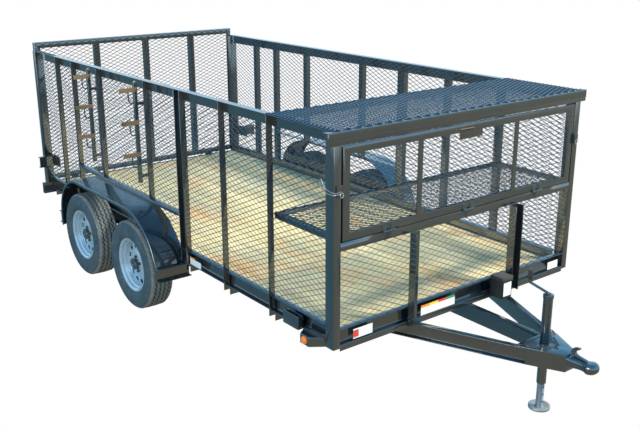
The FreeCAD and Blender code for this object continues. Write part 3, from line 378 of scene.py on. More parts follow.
class NodeTree:
    """Adds nodes to a shader's tree and wires them."""

    MIX_COLOURS = (6, 7)  # inputs of a mix node that take colours
    MIX_RESULT = 2  # output of a mix node that gives a colour

    def __init__(self, tree: bpy.types.NodeTree) -> None:
        """Take the tree to add to."""
        self.tree = tree

    def add(self, kind: str, **settings: str) -> bpy.types.Node:
        """Add a node.

        Args:
            kind: The node's type.
            settings: The node's own settings.

        Returns:
            The node.
        """
        node = self.tree.nodes.new(kind)
        for key, value in settings.items():
            setattr(node, key, value)
        return node

    def wire(self, source: Value, target: bpy.types.NodeSocket) -> None:
        """Link an output to an input, or set the input to a plain value.

        Args:
            source: An output, or a value.
            target: The input.
        """
        if isinstance(source, bpy.types.NodeSocket):
            self.tree.links.new(source, target)
        elif isinstance(source, tuple) and target.type == "RGBA":
            target.default_value = (*source, 1.0)
        else:
            target.default_value = source

    def math(self, operation: str, *values: Value) -> bpy.types.NodeSocket:
        """A number worked out from others.

        Args:
            operation: The sum to do.
            values: Its terms, each a number or an output.

        Returns:
            The result's output.
        """
        node = self.add("ShaderNodeMath", operation=operation)
        for value, target in zip(values, node.inputs):
            self.wire(value, target)
        return node.outputs[0]

    def parts(self, vector: bpy.types.NodeSocket) -> bpy.types.bpy_prop_collection:
        """The three numbers of a vector."""
        node = self.add("ShaderNodeSeparateXYZ")
        self.wire(vector, node.inputs[0])
        return node.outputs

    def ramp(self, value: Value, low: float, high: float, bottom: float = 0.0,
             top: float = 1.0) -> bpy.types.NodeSocket:
        """Spread a number between two limits, held at both ends.

        Args:
            value: The number's output.
            low: Where the spread starts.
            high: Where it ends.
            bottom: The result at the low end.
            top: The result at the high end.

        Returns:
            The result's output.
        """
        node = self.add("ShaderNodeMapRange")
        for key, number in (("Value", value), ("From Min", low), ("From Max", high),
                            ("To Min", bottom), ("To Max", top)):
            self.wire(number, node.inputs[key])
        return node.outputs[0]

    def mixed(self, share: Value, first: Value, second: Value) -> bpy.types.NodeSocket:
        """A colour between two colours.

        Args:
            share: The second colour's share.
            first: A colour or an output.
            second: A colour or an output.

        Returns:
            The colour's output.
        """
        node = self.add("ShaderNodeMix", data_type="RGBA")
        self.wire(share, node.inputs["Factor"])
        for value, key in zip((first, second), self.MIX_COLOURS):
            self.wire(value, node.inputs[key])
        return node.outputs[self.MIX_RESULT]


class Nodes(NodeTree):
    """The node tree of one material, with patterns laid out on the object's own place."""

    def __init__(self, name: str) -> None:
        """Make an empty material of that name."""
        self.material = bpy.data.materials.new(name)
        self.material.use_nodes = True
        super().__init__(self.material.node_tree)
        self.shader = self.tree.nodes["Principled BSDF"]
        self.place = self.add("ShaderNodeTexCoord").outputs["Object"]

    def stretched(self, scale: tuple) -> bpy.types.NodeSocket:
        """The place on the object, times a factor along each axis."""
        node = self.add("ShaderNodeMapping")
        self.wire(self.place, node.inputs["Vector"])
        self.wire(scale, node.inputs["Scale"])
        return node.outputs["Vector"]

    def noise(self, scale: float, detail: float, at: bpy.types.NodeSocket | None = None,
              rough: float = 0.5) -> bpy.types.NodeSocket:
        """Soft noise from 0 to 1.

        Args:
            scale: Its lumps to the metre.
            detail: How many finer layers it has.
            at: The place it is read at, or none for the place on the object.
            rough: The share of the finer layers.

        Returns:
            The noise's output.
        """
        node = self.add("ShaderNodeTexNoise")
        for key, value in (("Vector", at or self.place), ("Scale", scale), ("Detail", detail),
                           ("Roughness", rough)):
            self.wire(value, node.inputs[key])
        return node.outputs["Fac"]

    def cells(self, scale: float, at: bpy.types.NodeSocket) -> bpy.types.NodeSocket:
        """The distance to the middle of the nearest of many scattered cells."""
        node = self.add("ShaderNodeTexVoronoi")
        self.wire(at, node.inputs["Vector"])
        self.wire(scale, node.inputs["Scale"])
        return node.outputs["Distance"]

    def bump(self, height: bpy.types.NodeSocket, depth: float, strength: float = 1.0) -> None:
        """Let a height rough up the surface.

        Args:
            height: The height's output, from 0 to 1.
            depth: What a height of 1 stands for, in metres.
            strength: The share of the effect.
        """
        node = self.add("ShaderNodeBump")
        for key, value in (("Height", height), ("Distance", depth), ("Strength", strength)):
            self.wire(value, node.inputs[key])
        self.wire(node.outputs["Normal"], self.shader.inputs["Normal"])

    def surface(self, **values: Value) -> bpy.types.Material:
        """Set or link sockets of the shader.

        Args:
            values: Values or outputs by socket, with underscores for the spaces in the names.

        Returns:
            The material.
        """
        for key, value in values.items():
            self.wire(value, self.shader.inputs[key.replace("_", " ")])
        return self.material


@dataclass(frozen=True)
class Coating:
    """A painted, plated or moulded surface with light dust and uneven gloss."""

    name: str
    colour: tuple
    dust: tuple
    roughness: float
    metal: float = 0.0
    coat: float = 0.0
    dust_share: float = 0.15
    grain: float = 0.0
    coat_index: float = 1.5
    coat_roughness: float = 0.05
    cloud_scale: float = 3.5
    cloud_limits: tuple = (0.42, 0.7)
    gloss_scale: float = 23.0
    gloss_limits: tuple = (0.3, 0.7)
    gloss_shares: tuple = (0.8, 1.3)
    grain_scale: float = 900.0

    def material(self) -> bpy.types.Material:
        """The finish as a node material.

        The colour leans to dust where broad noise is high, the roughness follows finer noise,
        and a fine grain can roughen the surface.

        Returns:
            The material.
        """
        nodes = Nodes(self.name)
        cloud = nodes.ramp(nodes.noise(self.cloud_scale, 5.0), *self.cloud_limits, 0.0,
                           self.dust_share)
        gloss = nodes.ramp(nodes.noise(self.gloss_scale, 4.0), *self.gloss_limits,
                           *(min(1.0, self.roughness * share) for share in self.gloss_shares))
        if self.grain:
            nodes.bump(nodes.noise(self.grain_scale, 2.0), self.grain)
        return nodes.surface(Base_Color=nodes.mixed(cloud, self.colour, self.dust),
                             Roughness=gloss, Metallic=self.metal, Coat_Weight=self.coat,
                             Coat_Roughness=self.coat_roughness, Coat_IOR=self.coat_index)


@dataclass(frozen=True)
class Planking:
    """Treated pine: each plank with its own tint and drawn-out grain, knotty, and with grey-green
    patches that are partly weathering and partly painted shade.
    """

    name: str = "treated_pine"
    pitch: float = 0.1434
    tints: tuple = ((0.68, 0.58, 0.31), (1.0, 0.84, 0.48))
    plank_shift: tuple = (3.71, 0.37)
    grain_stretch: tuple = (0.6, 14.0, 14.0)
    ring_scale: float = 2.6
    ring_limits: tuple = (0.35, 0.68)
    ring_share: float = 0.5
    ring_colour: tuple = (0.60, 0.40, 0.16)
    fine_scale: float = 16.0
    fine_share: float = 0.6
    grain_depth: float = 0.0012
    grain_strength: float = 0.6
    # Grey-green patches of broad noise: partly weathering, partly painted shade.
    shade_weather_stretch: tuple = (0.7, 2.6, 1.0)
    shade_weather_scale: float = 1.6
    shade_weather_limits: tuple = (0.42, 0.62, 0.0, 0.5)
    shade_weather_colour: tuple = (0.40, 0.40, 0.26)
    stain_stretch: tuple = (1.0, 2.2, 1.0)
    stain_scale: float = 1.5
    stain_limits: tuple = (0.53, 0.72, 0.0, 0.55)
    stain_colour: tuple = (0.76, 0.34, 0.09)
    knot_stretch: tuple = (1.0, 2.4, 1.0)
    knot_scale: float = 3.1
    knot_limits: tuple = (0.035, 0.10, 1.0, 0.0)
    knot_share: float = 0.75
    knot_colour: tuple = (0.26, 0.10, 0.03)
    roughness: float = 0.72

    def drawn(self, nodes: Nodes, number: bpy.types.NodeSocket) -> bpy.types.NodeSocket:
        """The place for the grain: drawn out along x and shifted from plank to plank.

        Args:
            nodes: The material's nodes.
            number: The plank's number.

        Returns:
            The place's output.
        """
        shift = nodes.add("ShaderNodeCombineXYZ")
        for share, target in zip(self.plank_shift, shift.inputs):
            nodes.wire(nodes.math("MULTIPLY", number, share), target)
        total = nodes.add("ShaderNodeVectorMath", operation="ADD")
        nodes.wire(nodes.stretched(self.grain_stretch), total.inputs[0])
        nodes.wire(shift.outputs[0], total.inputs[1])
        return total.outputs[0]

    def material(self) -> bpy.types.Material:
        """The wood as a node material.

        The plank's number is the whole part of y over the pitch. It seeds the plank's tint and
        shifts its grain. Knots are the cores of rare cells, and stained patches lie where broad
        noise is high. Grey-green patches, where other broad noise is high, are partly weathering
        and partly painted shade.

        Returns:
            The material.
        """
        nodes = Nodes(self.name)
        number = nodes.math("FLOOR", nodes.math("DIVIDE", nodes.parts(nodes.place)[1],
                                                self.pitch))
        seed = nodes.add("ShaderNodeTexWhiteNoise", noise_dimensions="1D")
        nodes.wire(number, seed.inputs["W"])
        drawn = self.drawn(nodes, number)
        rings = nodes.ramp(nodes.noise(self.ring_scale, 6.0, drawn, 0.6), *self.ring_limits)
        fine = nodes.math("MULTIPLY", nodes.noise(self.fine_scale, 3.0, drawn), self.fine_share)
        stain = nodes.ramp(nodes.noise(self.stain_scale, 5.0, nodes.stretched(
            self.stain_stretch)), *self.stain_limits)
        knots = nodes.ramp(nodes.cells(self.knot_scale, nodes.stretched(self.knot_stretch)),
                           *self.knot_limits)
        shade_and_weather = nodes.ramp(nodes.noise(self.shade_weather_scale, 5.0, nodes.stretched(
            self.shade_weather_stretch)), *self.shade_weather_limits)
        colour = nodes.mixed(seed.outputs["Value"], *self.tints)
        colour = nodes.mixed(nodes.math("MULTIPLY", rings, self.ring_share), colour,
                             self.ring_colour)
        # Grey-green patches: partly weathering, partly painted shade.
        colour = nodes.mixed(shade_and_weather, colour, self.shade_weather_colour)
        colour = nodes.mixed(stain, colour, self.stain_colour)
        colour = nodes.mixed(nodes.math("MULTIPLY", knots, self.knot_share), colour,
                             self.knot_colour)
        nodes.bump(nodes.math("ADD", rings, fine), self.grain_depth, self.grain_strength)
        return nodes.surface(Base_Color=colour, Roughness=self.roughness)


@dataclass(frozen=True)
class Rubber:
    """Tyre rubber, paler where it is dusty."""

    name: str = "tyre_rubber"
    colour: tuple = (0.030, 0.066, 0.086)
    dust: tuple = (0.15, 0.165, 0.165)
    patch_scale: float = 9.0
    speck_scale: float = 60.0
    dust_limits: tuple = (0.16, 0.42, 0.05, 0.55)
    grain_scale: float = 700.0
    grain: float = 0.0004
    roughness: float = 0.78

    def material(self) -> bpy.types.Material:
        """The rubber as a node material: dust gathers where two scales of noise are high.

        Returns:
            The material.
        """
        nodes = Nodes(self.name)
        both = nodes.math("MULTIPLY", nodes.noise(self.patch_scale, 5.0),
                          nodes.noise(self.speck_scale, 3.0))
        dusty = nodes.ramp(both, *self.dust_limits)
        nodes.bump(nodes.noise(self.grain_scale, 2.0), self.grain)
        return nodes.surface(Base_Color=nodes.mixed(dusty, self.colour, self.dust),
                             Roughness=self.roughness)


@dataclass(frozen=True)
class Lens:
    """A moulded light lens with a fine pattern of prisms."""

    name: str
    colour: tuple
    glow: tuple
    glow_strength: float = 0.25
    prism_scale: float = 260.0
    prism_depth: float = 0.001
    prism_strength: float = 0.7
    roughness: float = 0.12

    def material(self) -> bpy.types.Material:
        """The lens as a node material: small cells dent the clear coloured plastic.

        Returns:
            The material.
        """
        nodes = Nodes(self.name)
        nodes.bump(nodes.cells(self.prism_scale, nodes.place), self.prism_depth,
                   self.prism_strength)
        return nodes.surface(Base_Color=self.colour, Roughness=self.roughness, Coat_Weight=1.0,
                             Emission_Color=self.glow, Emission_Strength=self.glow_strength)


DUST = (0.30, 0.27, 0.22)
FINISHES = {kind.name: kind for kind in (
    Coating("black_paint", (0.003, 0.010, 0.014), DUST, 0.36, coat=1.0, dust_share=0.02,
            coat_index=2.4),
    Coating("black_mesh", (0.007, 0.010, 0.013), DUST, 0.40, coat=1.0, dust_share=0.03,
            coat_index=2.2),
    Coating("spring_steel", (0.03, 0.03, 0.033), DUST, 0.5, metal=0.3, dust_share=0.35),
    Coating("silver_paint", (0.48, 0.62, 0.70), DUST, 0.30, metal=0.45, coat=0.5,
            dust_share=0.06),
    Coating("zinc", (0.42, 0.46, 0.46), DUST, 0.45, metal=0.7, dust_share=0.25),
    Coating("steel_wire", (0.62, 0.60, 0.54), DUST, 0.3, metal=0.8, dust_share=0.1),
    Coating("brass", (0.66, 0.47, 0.16), DUST, 0.25, metal=0.9, dust_share=0.1),
    Coating("bronze_plate", (0.20, 0.135, 0.075), DUST, 0.36, metal=0.35, coat=0.3,
            dust_share=0.2),
    Coating("black_plastic", (0.022, 0.024, 0.027), DUST, 0.45, dust_share=0.12, grain=0.0003),
    Coating("white_label", (0.82, 0.83, 0.82), DUST, 0.4, dust_share=0.08),
    Coating("red_label", (0.62, 0.06, 0.04), DUST, 0.4, dust_share=0.05),
    Coating("yellow_label", (0.85, 0.62, 0.05), DUST, 0.4, dust_share=0.05),
    Coating("green_label", (0.03, 0.30, 0.10), DUST, 0.4, dust_share=0.05),
    Coating("orange_label", (0.85, 0.27, 0.03), DUST, 0.4, dust_share=0.05),
    # The tread rubber is paler, partly from dust and wear; the grooves keep the darker rubber as
    # painted shade.
    Planking(), Rubber(), Rubber("tread_rubber", (0.125, 0.138, 0.132), (0.34, 0.35, 0.32)),
    Lens("amber_lens", (0.80, 0.22, 0.01), (0.9, 0.22, 0.01)),
    Lens("red_lens", (0.35, 0.01, 0.01), (0.5, 0.01, 0.01)))}


class Finishes:
    """Makes each finish once, when it is first asked for."""

    def __init__(self) -> None:
        """Start with none made."""
        self.made = {}

    def __call__(self, name: str) -> bpy.types.Material:
        """The material of that name."""
        if name not in self.made:
            self.made[name] = FINISHES[name].material()
        return self.made[name]


finish = Finishes()


# Expanded metal


@dataclass(frozen=True)
class Sheet:
    """A flat rectangle: one corner, its two sides and the way its raised strands lean."""

    corner: tuple
    along: Axis
    up: Axis
    lean: float
    wide: float
    tall: float


@dataclass(frozen=True)
class ExpandedMetal:
    """Raised expanded metal with diamonds that lie along the sheet."""

    long_way: float = 0.0762
    short_way: float = 0.0345
    strand: float = 0.0052
    wall: float = 0.0020
    tilt: float = math.radians(52)

    def form(self, sheet: Sheet) -> Form:
        """The strands of one sheet.

        Row k of strands runs to and fro between the heights k and k + 1 half diamonds, low at
        the columns j where j + k is even. Neighbouring rows so meet at their bonds. A strand's
        section is a flat bar, turned by the tilt about the sheet's long way.

        Args:
            sheet: The rectangle to fill.

        Returns:
            The strands' form.
        """
        reach = (self.strand * math.cos(self.tilt) + self.wall * math.sin(self.tilt)) / 2
        tall = sheet.tall - 2 * reach
        columns = max(2, round(sheet.wide / (self.long_way / 2)))
        rows = max(1, round(tall / (self.short_way / 2)))
        j = np.arange(columns + 1)
        k = np.arange(rows)[:, None]
        u = np.broadcast_to(j * sheet.wide / columns, (rows, columns + 1))
        v = reach + (k + (j + k) % 2) * tall / rows
        across = np.array([math.cos(self.tilt), math.sin(self.tilt)]) * self.strand / 2
        through = np.array([-math.sin(self.tilt), math.cos(self.tilt)]) * self.wall / 2
        corners = np.array([across + through, through - across, -across - through,
                            across - through])
        out = np.cross(sheet.along.array, sheet.up.array)
        depth = sheet.lean * (corners[:, 1].max() - corners[:, 1])
        points = (np.array(sheet.corner) + u[..., None, None] * sheet.along.array
                  + (v[..., None] + corners[:, 0])[..., None] * sheet.up.array
                  + depth[None, None, :, None] * out)
        end = np.arange(4)[None]
        one = np.concatenate([grid_faces(columns + 1, 4, wrap_columns=True), end,
                              end[:, ::-1] + columns * 4])
        faces = (one[None] + (np.arange(rows) * (columns + 1) * 4)[:, None, None]).reshape(-1, 4)
        return Form(points.reshape(-1, 3), (faces,)).outward()


@dataclass(frozen=True)
class Walls:
    """The panels of expanded metal of the walls, roof, shelf, door and gate."""

    metal: ExpandedMetal = field(default_factory=ExpandedMetal)
    soft_angle: float = 10.0

    def side(self, hand: Mirror) -> Form:
        """One side wall: three panels side by side, their strands leaning out at the top.

        Args:
            hand: The wall's side.

        Returns:
            The form of the wall's mesh.
        """
        low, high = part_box("side_mesh_right")
        well_low, well_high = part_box("wheel_well_rails")
        y = abs(low.y) * hand.value
        joints = (low.x, well_low.x, well_high.x, high.x)
        return joined([self.metal.form(Sheet((x0, y, low.z), Axis.X, Axis.Z, hand.value, x1 - x0,
                                             high.z - low.z))
                       for x0, x1 in zip(joints, joints[1:])])

    def flat(self, node: str, along: Axis, up: Axis, lean: float) -> Form:
        """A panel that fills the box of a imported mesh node.

        Args:
            node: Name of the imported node.
            along: The way of the long diagonals.
            up: The way of the short diagonals.
            lean: 1 if the strands go out along the cross product of the two, or -1.

        Returns:
            The form of the panel.
        """
        low, high = (np.array(corner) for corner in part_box(node))
        out = np.cross(along.array, up.array) * lean
        corner = np.where(out < -0.5, high, low)
        return self.metal.form(Sheet(tuple(corner), along, up, lean,
                                     float((high - low) @ along.array),
                                     float((high - low) @ up.array)))

    def build(self) -> None:
        """Make the pieces."""
        mesh = finish("black_mesh")
        for hand in Mirror:
            piece("mesh_wall_" + hand.word, self.side(hand), mesh,
                  stands_for=["side_mesh_" + hand.word],
                  soft_angle=self.soft_angle)
        for name, along, up, lean, body in (
                ("front_mesh", Axis.Y, Axis.Z, -1.0, CHASSIS),
                ("door_mesh", Axis.Y, Axis.Z, -1.0, "front_door"),
                ("roof_mesh", Axis.Y, Axis.X, -1.0, CHASSIS),
                ("shelf_mesh", Axis.Y, Axis.X, 1.0, CHASSIS),
                ("gate_mesh", Axis.Y, Axis.Z, 1.0, "ramp_gate")):
            piece("expanded_" + name, self.flat(name, along, up, lean), mesh, body, [name],
                  soft_angle=self.soft_angle)


# Bars and sheet metal


@dataclass(frozen=True)
class Fender:
    """A tandem fender of sheet metal with a turned-down lip, a low back plate and brackets."""

    wall: float = 0.003
    lip: float = 0.024
    bend: float = 0.007
    bend_steps: int = 5
    front_radius: float = 0.470
    rear_radius: float = 0.365
    arc_steps: int = 28
    plate_rise: float = 0.095
    bracket_depth: float = 0.102
    bracket_flange: float = 0.041
    bracket_wall: float = 0.005

    def spine(self) -> tuple[np.ndarray, np.ndarray]:
        """The fender's side view, from the front foot over both wheels to the rear foot.

        Returns:
            Points (x, z) of the outer face and the outward direction at each.
        """
        front, rear = (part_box("tyre_%s_right" % end) for end in ("front", "rear"))
        ahead, behind = ((low.x + high.x) / 2 for low, high in (front, rear))
        level = (front[0].z + front[1].z) / 2
        quarter = np.linspace(0, math.pi / 2, self.arc_steps)
        first = np.stack([np.cos(quarter), np.sin(quarter)], axis=-1)
        second = np.stack([-np.sin(quarter), np.cos(quarter)], axis=-1)
        rear_level = level + self.front_radius - self.rear_radius
        points = np.concatenate([[ahead, level] + first * self.front_radius,
                                 [behind, rear_level] + second * self.rear_radius,
                                 [[behind - self.rear_radius, level]]])
        return points, np.concatenate([first, second, second[-1:]])

    def section(self, inner: float, outer: float) -> np.ndarray:
        """The sheet's section from the wall to the lip.

        The fold to the lip follows a quarter round; the inside repeats the outside one wall
        further in.

        Args:
            inner: Where the sheet starts across the trailer.
            outer: Where the lip's outer face stands.

        Returns:
            Rows of height over the sheet's outer face and place across.
        """
        quarter = np.linspace(0, math.pi / 2, self.bend_steps)
        round_z, round_y = self.bend * (np.cos(quarter) - 1), self.bend * (np.sin(quarter) - 1)
        inside = (self.bend - self.wall) / self.bend
        outside = np.stack([round_z, outer + round_y], axis=-1)
        within = np.stack([-self.wall + round_z * inside,
                           outer - self.wall + round_y * inside], axis=-1)
        return np.concatenate([[[0.0, inner]], outside, [[-self.lip, outer]],
                               [[-self.lip, outer - self.wall]], within[::-1],
                               [[-self.wall, inner]]])

    def sheet(self, hand: Mirror) -> Form:
        """The bent strip: its section carried along the side view.

        Args:
            hand: The fender's side.

        Returns:
            The strip's form.
        """
        spine, normals = self.spine()
        section = self.section(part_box("side_rails")[1].y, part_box("fenders")[1].y)
        count = len(section)
        spots = spine[:, None] + normals[:, None] * section[None, :, :1]
        across = np.broadcast_to(section[:, 1] * hand.value, spots.shape[:2])
        points = np.stack([spots[..., 0], across, spots[..., 1]], axis=-1)
        end = np.arange(count)[None]
        faces = (grid_faces(len(spine), count, wrap_columns=True), end,
                 end[:, ::-1] + (len(spine) - 1) * count)
        return Form(points.reshape(-1, 3), faces).outward()

    def back_plate(self, hand: Mirror) -> Form:
        """The plate that stands on the side rail and follows the side view at both ends.

        Args:
            hand: The fender's side.

        Returns:
            The plate's form.
        """
        spine, _ = self.spine()
        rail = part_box("side_rails")[1]
        line = spine[(spine[:, 1] >= rail.z) & (spine[:, 1] <= rail.z + self.plate_rise)]
        y = np.full(len(line), rail.y * hand.value)
        return plate(np.stack([line[:, 0], y, line[:, 1]], axis=-1),
                     (0, -hand.value * self.wall, 0))

    def brackets(self) -> Form:
        """Channel stubs under the rail whose webs carry the fender's ends.

        Returns:
            The form of the four stubs.
        """
        spine, _ = self.spine()
        inner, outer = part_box("side_mesh_left")[0].y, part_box("fenders")[1].y
        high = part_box("fender_brackets")[1].z
        low = high - self.bracket_depth
        boxes = []
        for x, forward in ((spine[0, 0], 1.0), (spine[-1, 0], -1.0)):
            for reach, z0, z1 in ((self.bracket_wall, low, high),
                                  (self.bracket_flange, low, low + self.bracket_wall),
                                  (self.bracket_flange, high - self.bracket_wall, high)):
                x0, x1 = sorted((x, x + forward * reach))
                boxes.append(((x0, inner, z0), (x1, outer, z1)))
        return both_hands(boxes)

    def build(self) -> None:
        """Make the pieces."""
        forms = [form for hand in Mirror for form in (self.sheet(hand), self.back_plate(hand))]
        piece("fender_sheets", joined(forms), finish("black_paint"), stands_for=["fenders"],
              soft_angle=50.0)
        piece("fender_stubs", self.brackets(), finish("black_paint"),
              stands_for=["fender_brackets"], edge=BAR_EDGE)


@dataclass(frozen=True)
class TopRails:
    """The angles on top of the side walls: a flat leg outward and a deep leg at the mesh."""

    wall: float = 0.005
    leg: float = 0.076
    proud: float = 0.0006
    header: float = 0.044

    def build(self) -> None:
        """Make the piece, its deep legs between the posts and its flat legs over them."""
        low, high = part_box("top_rails")
        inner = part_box("side_mesh_left")[1].y
        front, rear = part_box("front_posts"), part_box("rear_posts")
        boxes = [((low.x, inner, high.z - self.wall), (front[1].x - self.header, high.y, high.z)),
                 ((rear[1].x, inner - self.proud, high.z - self.leg),
                  (front[0].x, inner + self.wall + self.proud, high.z - self.wall / 2))]
        piece("top_angles", both_hands(boxes), finish("black_paint"), stands_for=["top_rails"],
              edge=RAIL_EDGE)


@dataclass(frozen=True)
class Stakes:
    """The uprights on the front mesh: an angle on the right and a channel on the left."""

    right: float = -0.492
    left: float = 0.408
    face: float = 0.076
    fin: float = 0.057
    wall: float = 0.005

    def build(self) -> None:
        """Make the piece: a flat face against the mesh and fins that stand forward."""
        low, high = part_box("front_stakes")
        fins = (self.right, self.left, self.left + self.face - self.wall)
        forms = [block((low.x, y, low.z), (low.x + self.wall, y + self.face, high.z))
                 for y in (self.right, self.left)]
        forms += [block((low.x, y, low.z), (low.x + self.fin, y + self.wall, high.z))
                  for y in fins]
        piece("stakes", joined(forms), finish("black_paint"), stands_for=["front_stakes"],
              edge=BAR_EDGE)


@dataclass(frozen=True)
class Racks:
    """Two tool racks on the right wall: a square post, bronze plates and bent rod hooks."""

    shares: tuple = (-0.5078, -0.6927)
    low: float = 0.975
    high: float = 1.720
    post: float = 0.026
    arm: float = 0.022
    standoff: float = 0.046
    arm_shares: tuple = (0.053, 0.783)
    level_shares: tuple = (0.293, 0.615, 0.937)
    plate_reach: float = 0.130
    plate_half: float = 0.016
    plate_wall: float = 0.006
    plate_edge: float = 0.0012
    rod: float = 0.005
    rod_sides: int = 12
    drop: float = 0.080
    rod_share: float = 0.45
    knob: tuple = ((0, POLE), (0, 0.008), (0.010, 0.010), (0.016, 0.006), (0.016, POLE))
    knob_steps: int = 24

    def build(self) -> None:
        """Make the pieces."""
        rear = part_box("top_rails")[0].x
        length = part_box("front_posts")[1].x - rear
        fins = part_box("uprights")[0].y
        inner = fins - self.standoff
        outer = inner - self.post
        middle = (inner + outer) / 2
        tip = middle - self.plate_reach
        y = middle - self.rod_share * self.plate_reach
        arms, levels = ([self.low + share * (self.high - self.low) for share in shares]
                        for shares in (self.arm_shares, self.level_shares))
        posts, plates, rods, knobs = [], [], [], []
        for share in self.shares:
            x = rear + length * (1 + share)
            posts.append(block((x - self.post, outer, self.low), (x, inner, self.high)))
            posts += [block((x - self.arm, inner, z), (x, fins, z + self.arm)) for z in arms]
            plates += [block((x, tip, z - self.plate_half),
                             (x + self.plate_wall, inner, z + self.plate_half)) for z in levels]
            for z in levels:
                bottom = z - self.plate_half - self.drop
                line = [(x - self.rod, y, z + self.plate_half), (x - self.rod, y, z),
                        (x - self.rod, y, bottom), (x - self.rod, outer, bottom)]
                rods.append(tube(rounded_line(line, 3), self.rod, self.rod_sides))
            knobs.append(lathe(rounded_line(self.knob, 2), (x - self.post / 2, middle, self.high),
                               Axis.Z, self.knob_steps))
        piece("rack_posts", joined(posts), finish("black_paint"), stands_for=["tool_racks"],
              edge=BAR_EDGE)
        piece("rack_plates", joined(plates), finish("bronze_plate"),
              stands_for=["rack_hooks"], edge=self.plate_edge)
        piece("rack_rods", joined(rods), finish("black_paint"))
        piece("rack_knobs", joined(knobs), finish("brass"))


@dataclass(frozen=True)
class Lamps:
    """The side markers under the rail and the tail lights in their channels."""

    marker_front: float = 0.092
    marker_length: float = 0.208
    marker_depth: float = 0.087
    marker_slant: float = 0.062
    marker_low: float = 0.431
    marker_tall: float = 0.062
    marker_edge: float = 0.004
    marker_lens: tuple = (0.025, 0.012)
    tail_place: float = 0.200
    tail_ahead: float = 0.093
    tail_wide: float = 0.156
    tail_low: float = 0.692
    tail_tall: float = 0.098
    tail_flange: float = 0.041
    tail_lens: tuple = (0.038, 0.022)
    wall: float = 0.005
    lens_shape: tuple = ((0.0, 1.0), (0.25, 1.0), (0.3, 0.88), (0.8, 0.86), (1.0, 0.72))
    lens_steps: int = 36

    def lens(self, spot: Rows, axis: Axis, way: float, size: tuple) -> Form:
        """A flat-topped round lens that stands on a rim.

        Args:
            spot: The middle of its back.
            axis: The axis it stands out along.
            way: 1 if it points along the axis, or -1.
            size: Its radius and depth.

        Returns:
            The lens's form.
        """
        radius, depth = size
        rim = [(rise * depth, share * radius) for rise, share in self.lens_shape]
        rim = np.array([(0, POLE), *rim, (depth, POLE)])
        return lathe(rim * [way, 1.0], spot, axis, self.lens_steps)

    def markers(self) -> None:
        """Make the housings, whose ends slant towards the outer face, and their lenses."""
        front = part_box("front_posts")[1].x - self.marker_front
        rear = front - self.marker_length
        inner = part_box("side_rails")[1].y
        outer = inner + self.marker_depth
        line = [(front, inner), (rear, inner), (rear + self.marker_slant, outer),
                (front - self.marker_slant, outer)]
        housings = [plate(hand.spot([(x, y, self.marker_low) for x, y in line]),
                          (0, 0, self.marker_tall)) for hand in Mirror]
        piece("marker_boxes", joined(housings), finish("black_paint"),
              stands_for=["marker_housings"], edge=self.marker_edge)
        spot = ((front + rear) / 2, outer, self.marker_low + self.marker_tall / 2)
        lenses = [self.lens(hand.spot(spot), Axis.Y, hand.value, self.marker_lens)
                  for hand in Mirror]
        piece("marker_lenses", joined(lenses), finish("amber_lens"),
              stands_for=["marker_lights"])

    def tails(self) -> None:
        """Make the channels that carry the tail lights, and the lenses on their backs."""
        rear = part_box("rear_posts")
        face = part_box("top_rails")[0].x + self.tail_place
        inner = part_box("side_mesh_left")[1].y
        low, high = self.tail_low, self.tail_low + self.tail_tall
        outer = inner + self.tail_wide
        boxes = [((face - self.wall, inner, low), (face, outer, high)),
                 ((face - self.tail_flange, inner, low), (face, outer, low + self.wall)),
                 ((face - self.tail_flange, inner, high - self.wall), (face, outer, high)),
                 ((rear[1].x, inner, low), (face + self.tail_ahead, inner + self.wall, high))]
        piece("tail_channels", both_hands(boxes), finish("black_paint"),
              stands_for=["tail_light_brackets"], edge=BAR_EDGE)
        spot = (face - self.wall, (inner + outer) / 2, (low + high) / 2)
        lenses = [self.lens(hand.spot(spot), Axis.X, -1.0, self.tail_lens) for hand in Mirror]
        piece("tail_lenses", joined(lenses), finish("red_lens"), stands_for=["tail_lights"])

    def build(self) -> None:
        """Make the pieces."""
        self.markers()
        self.tails()


# Wheels


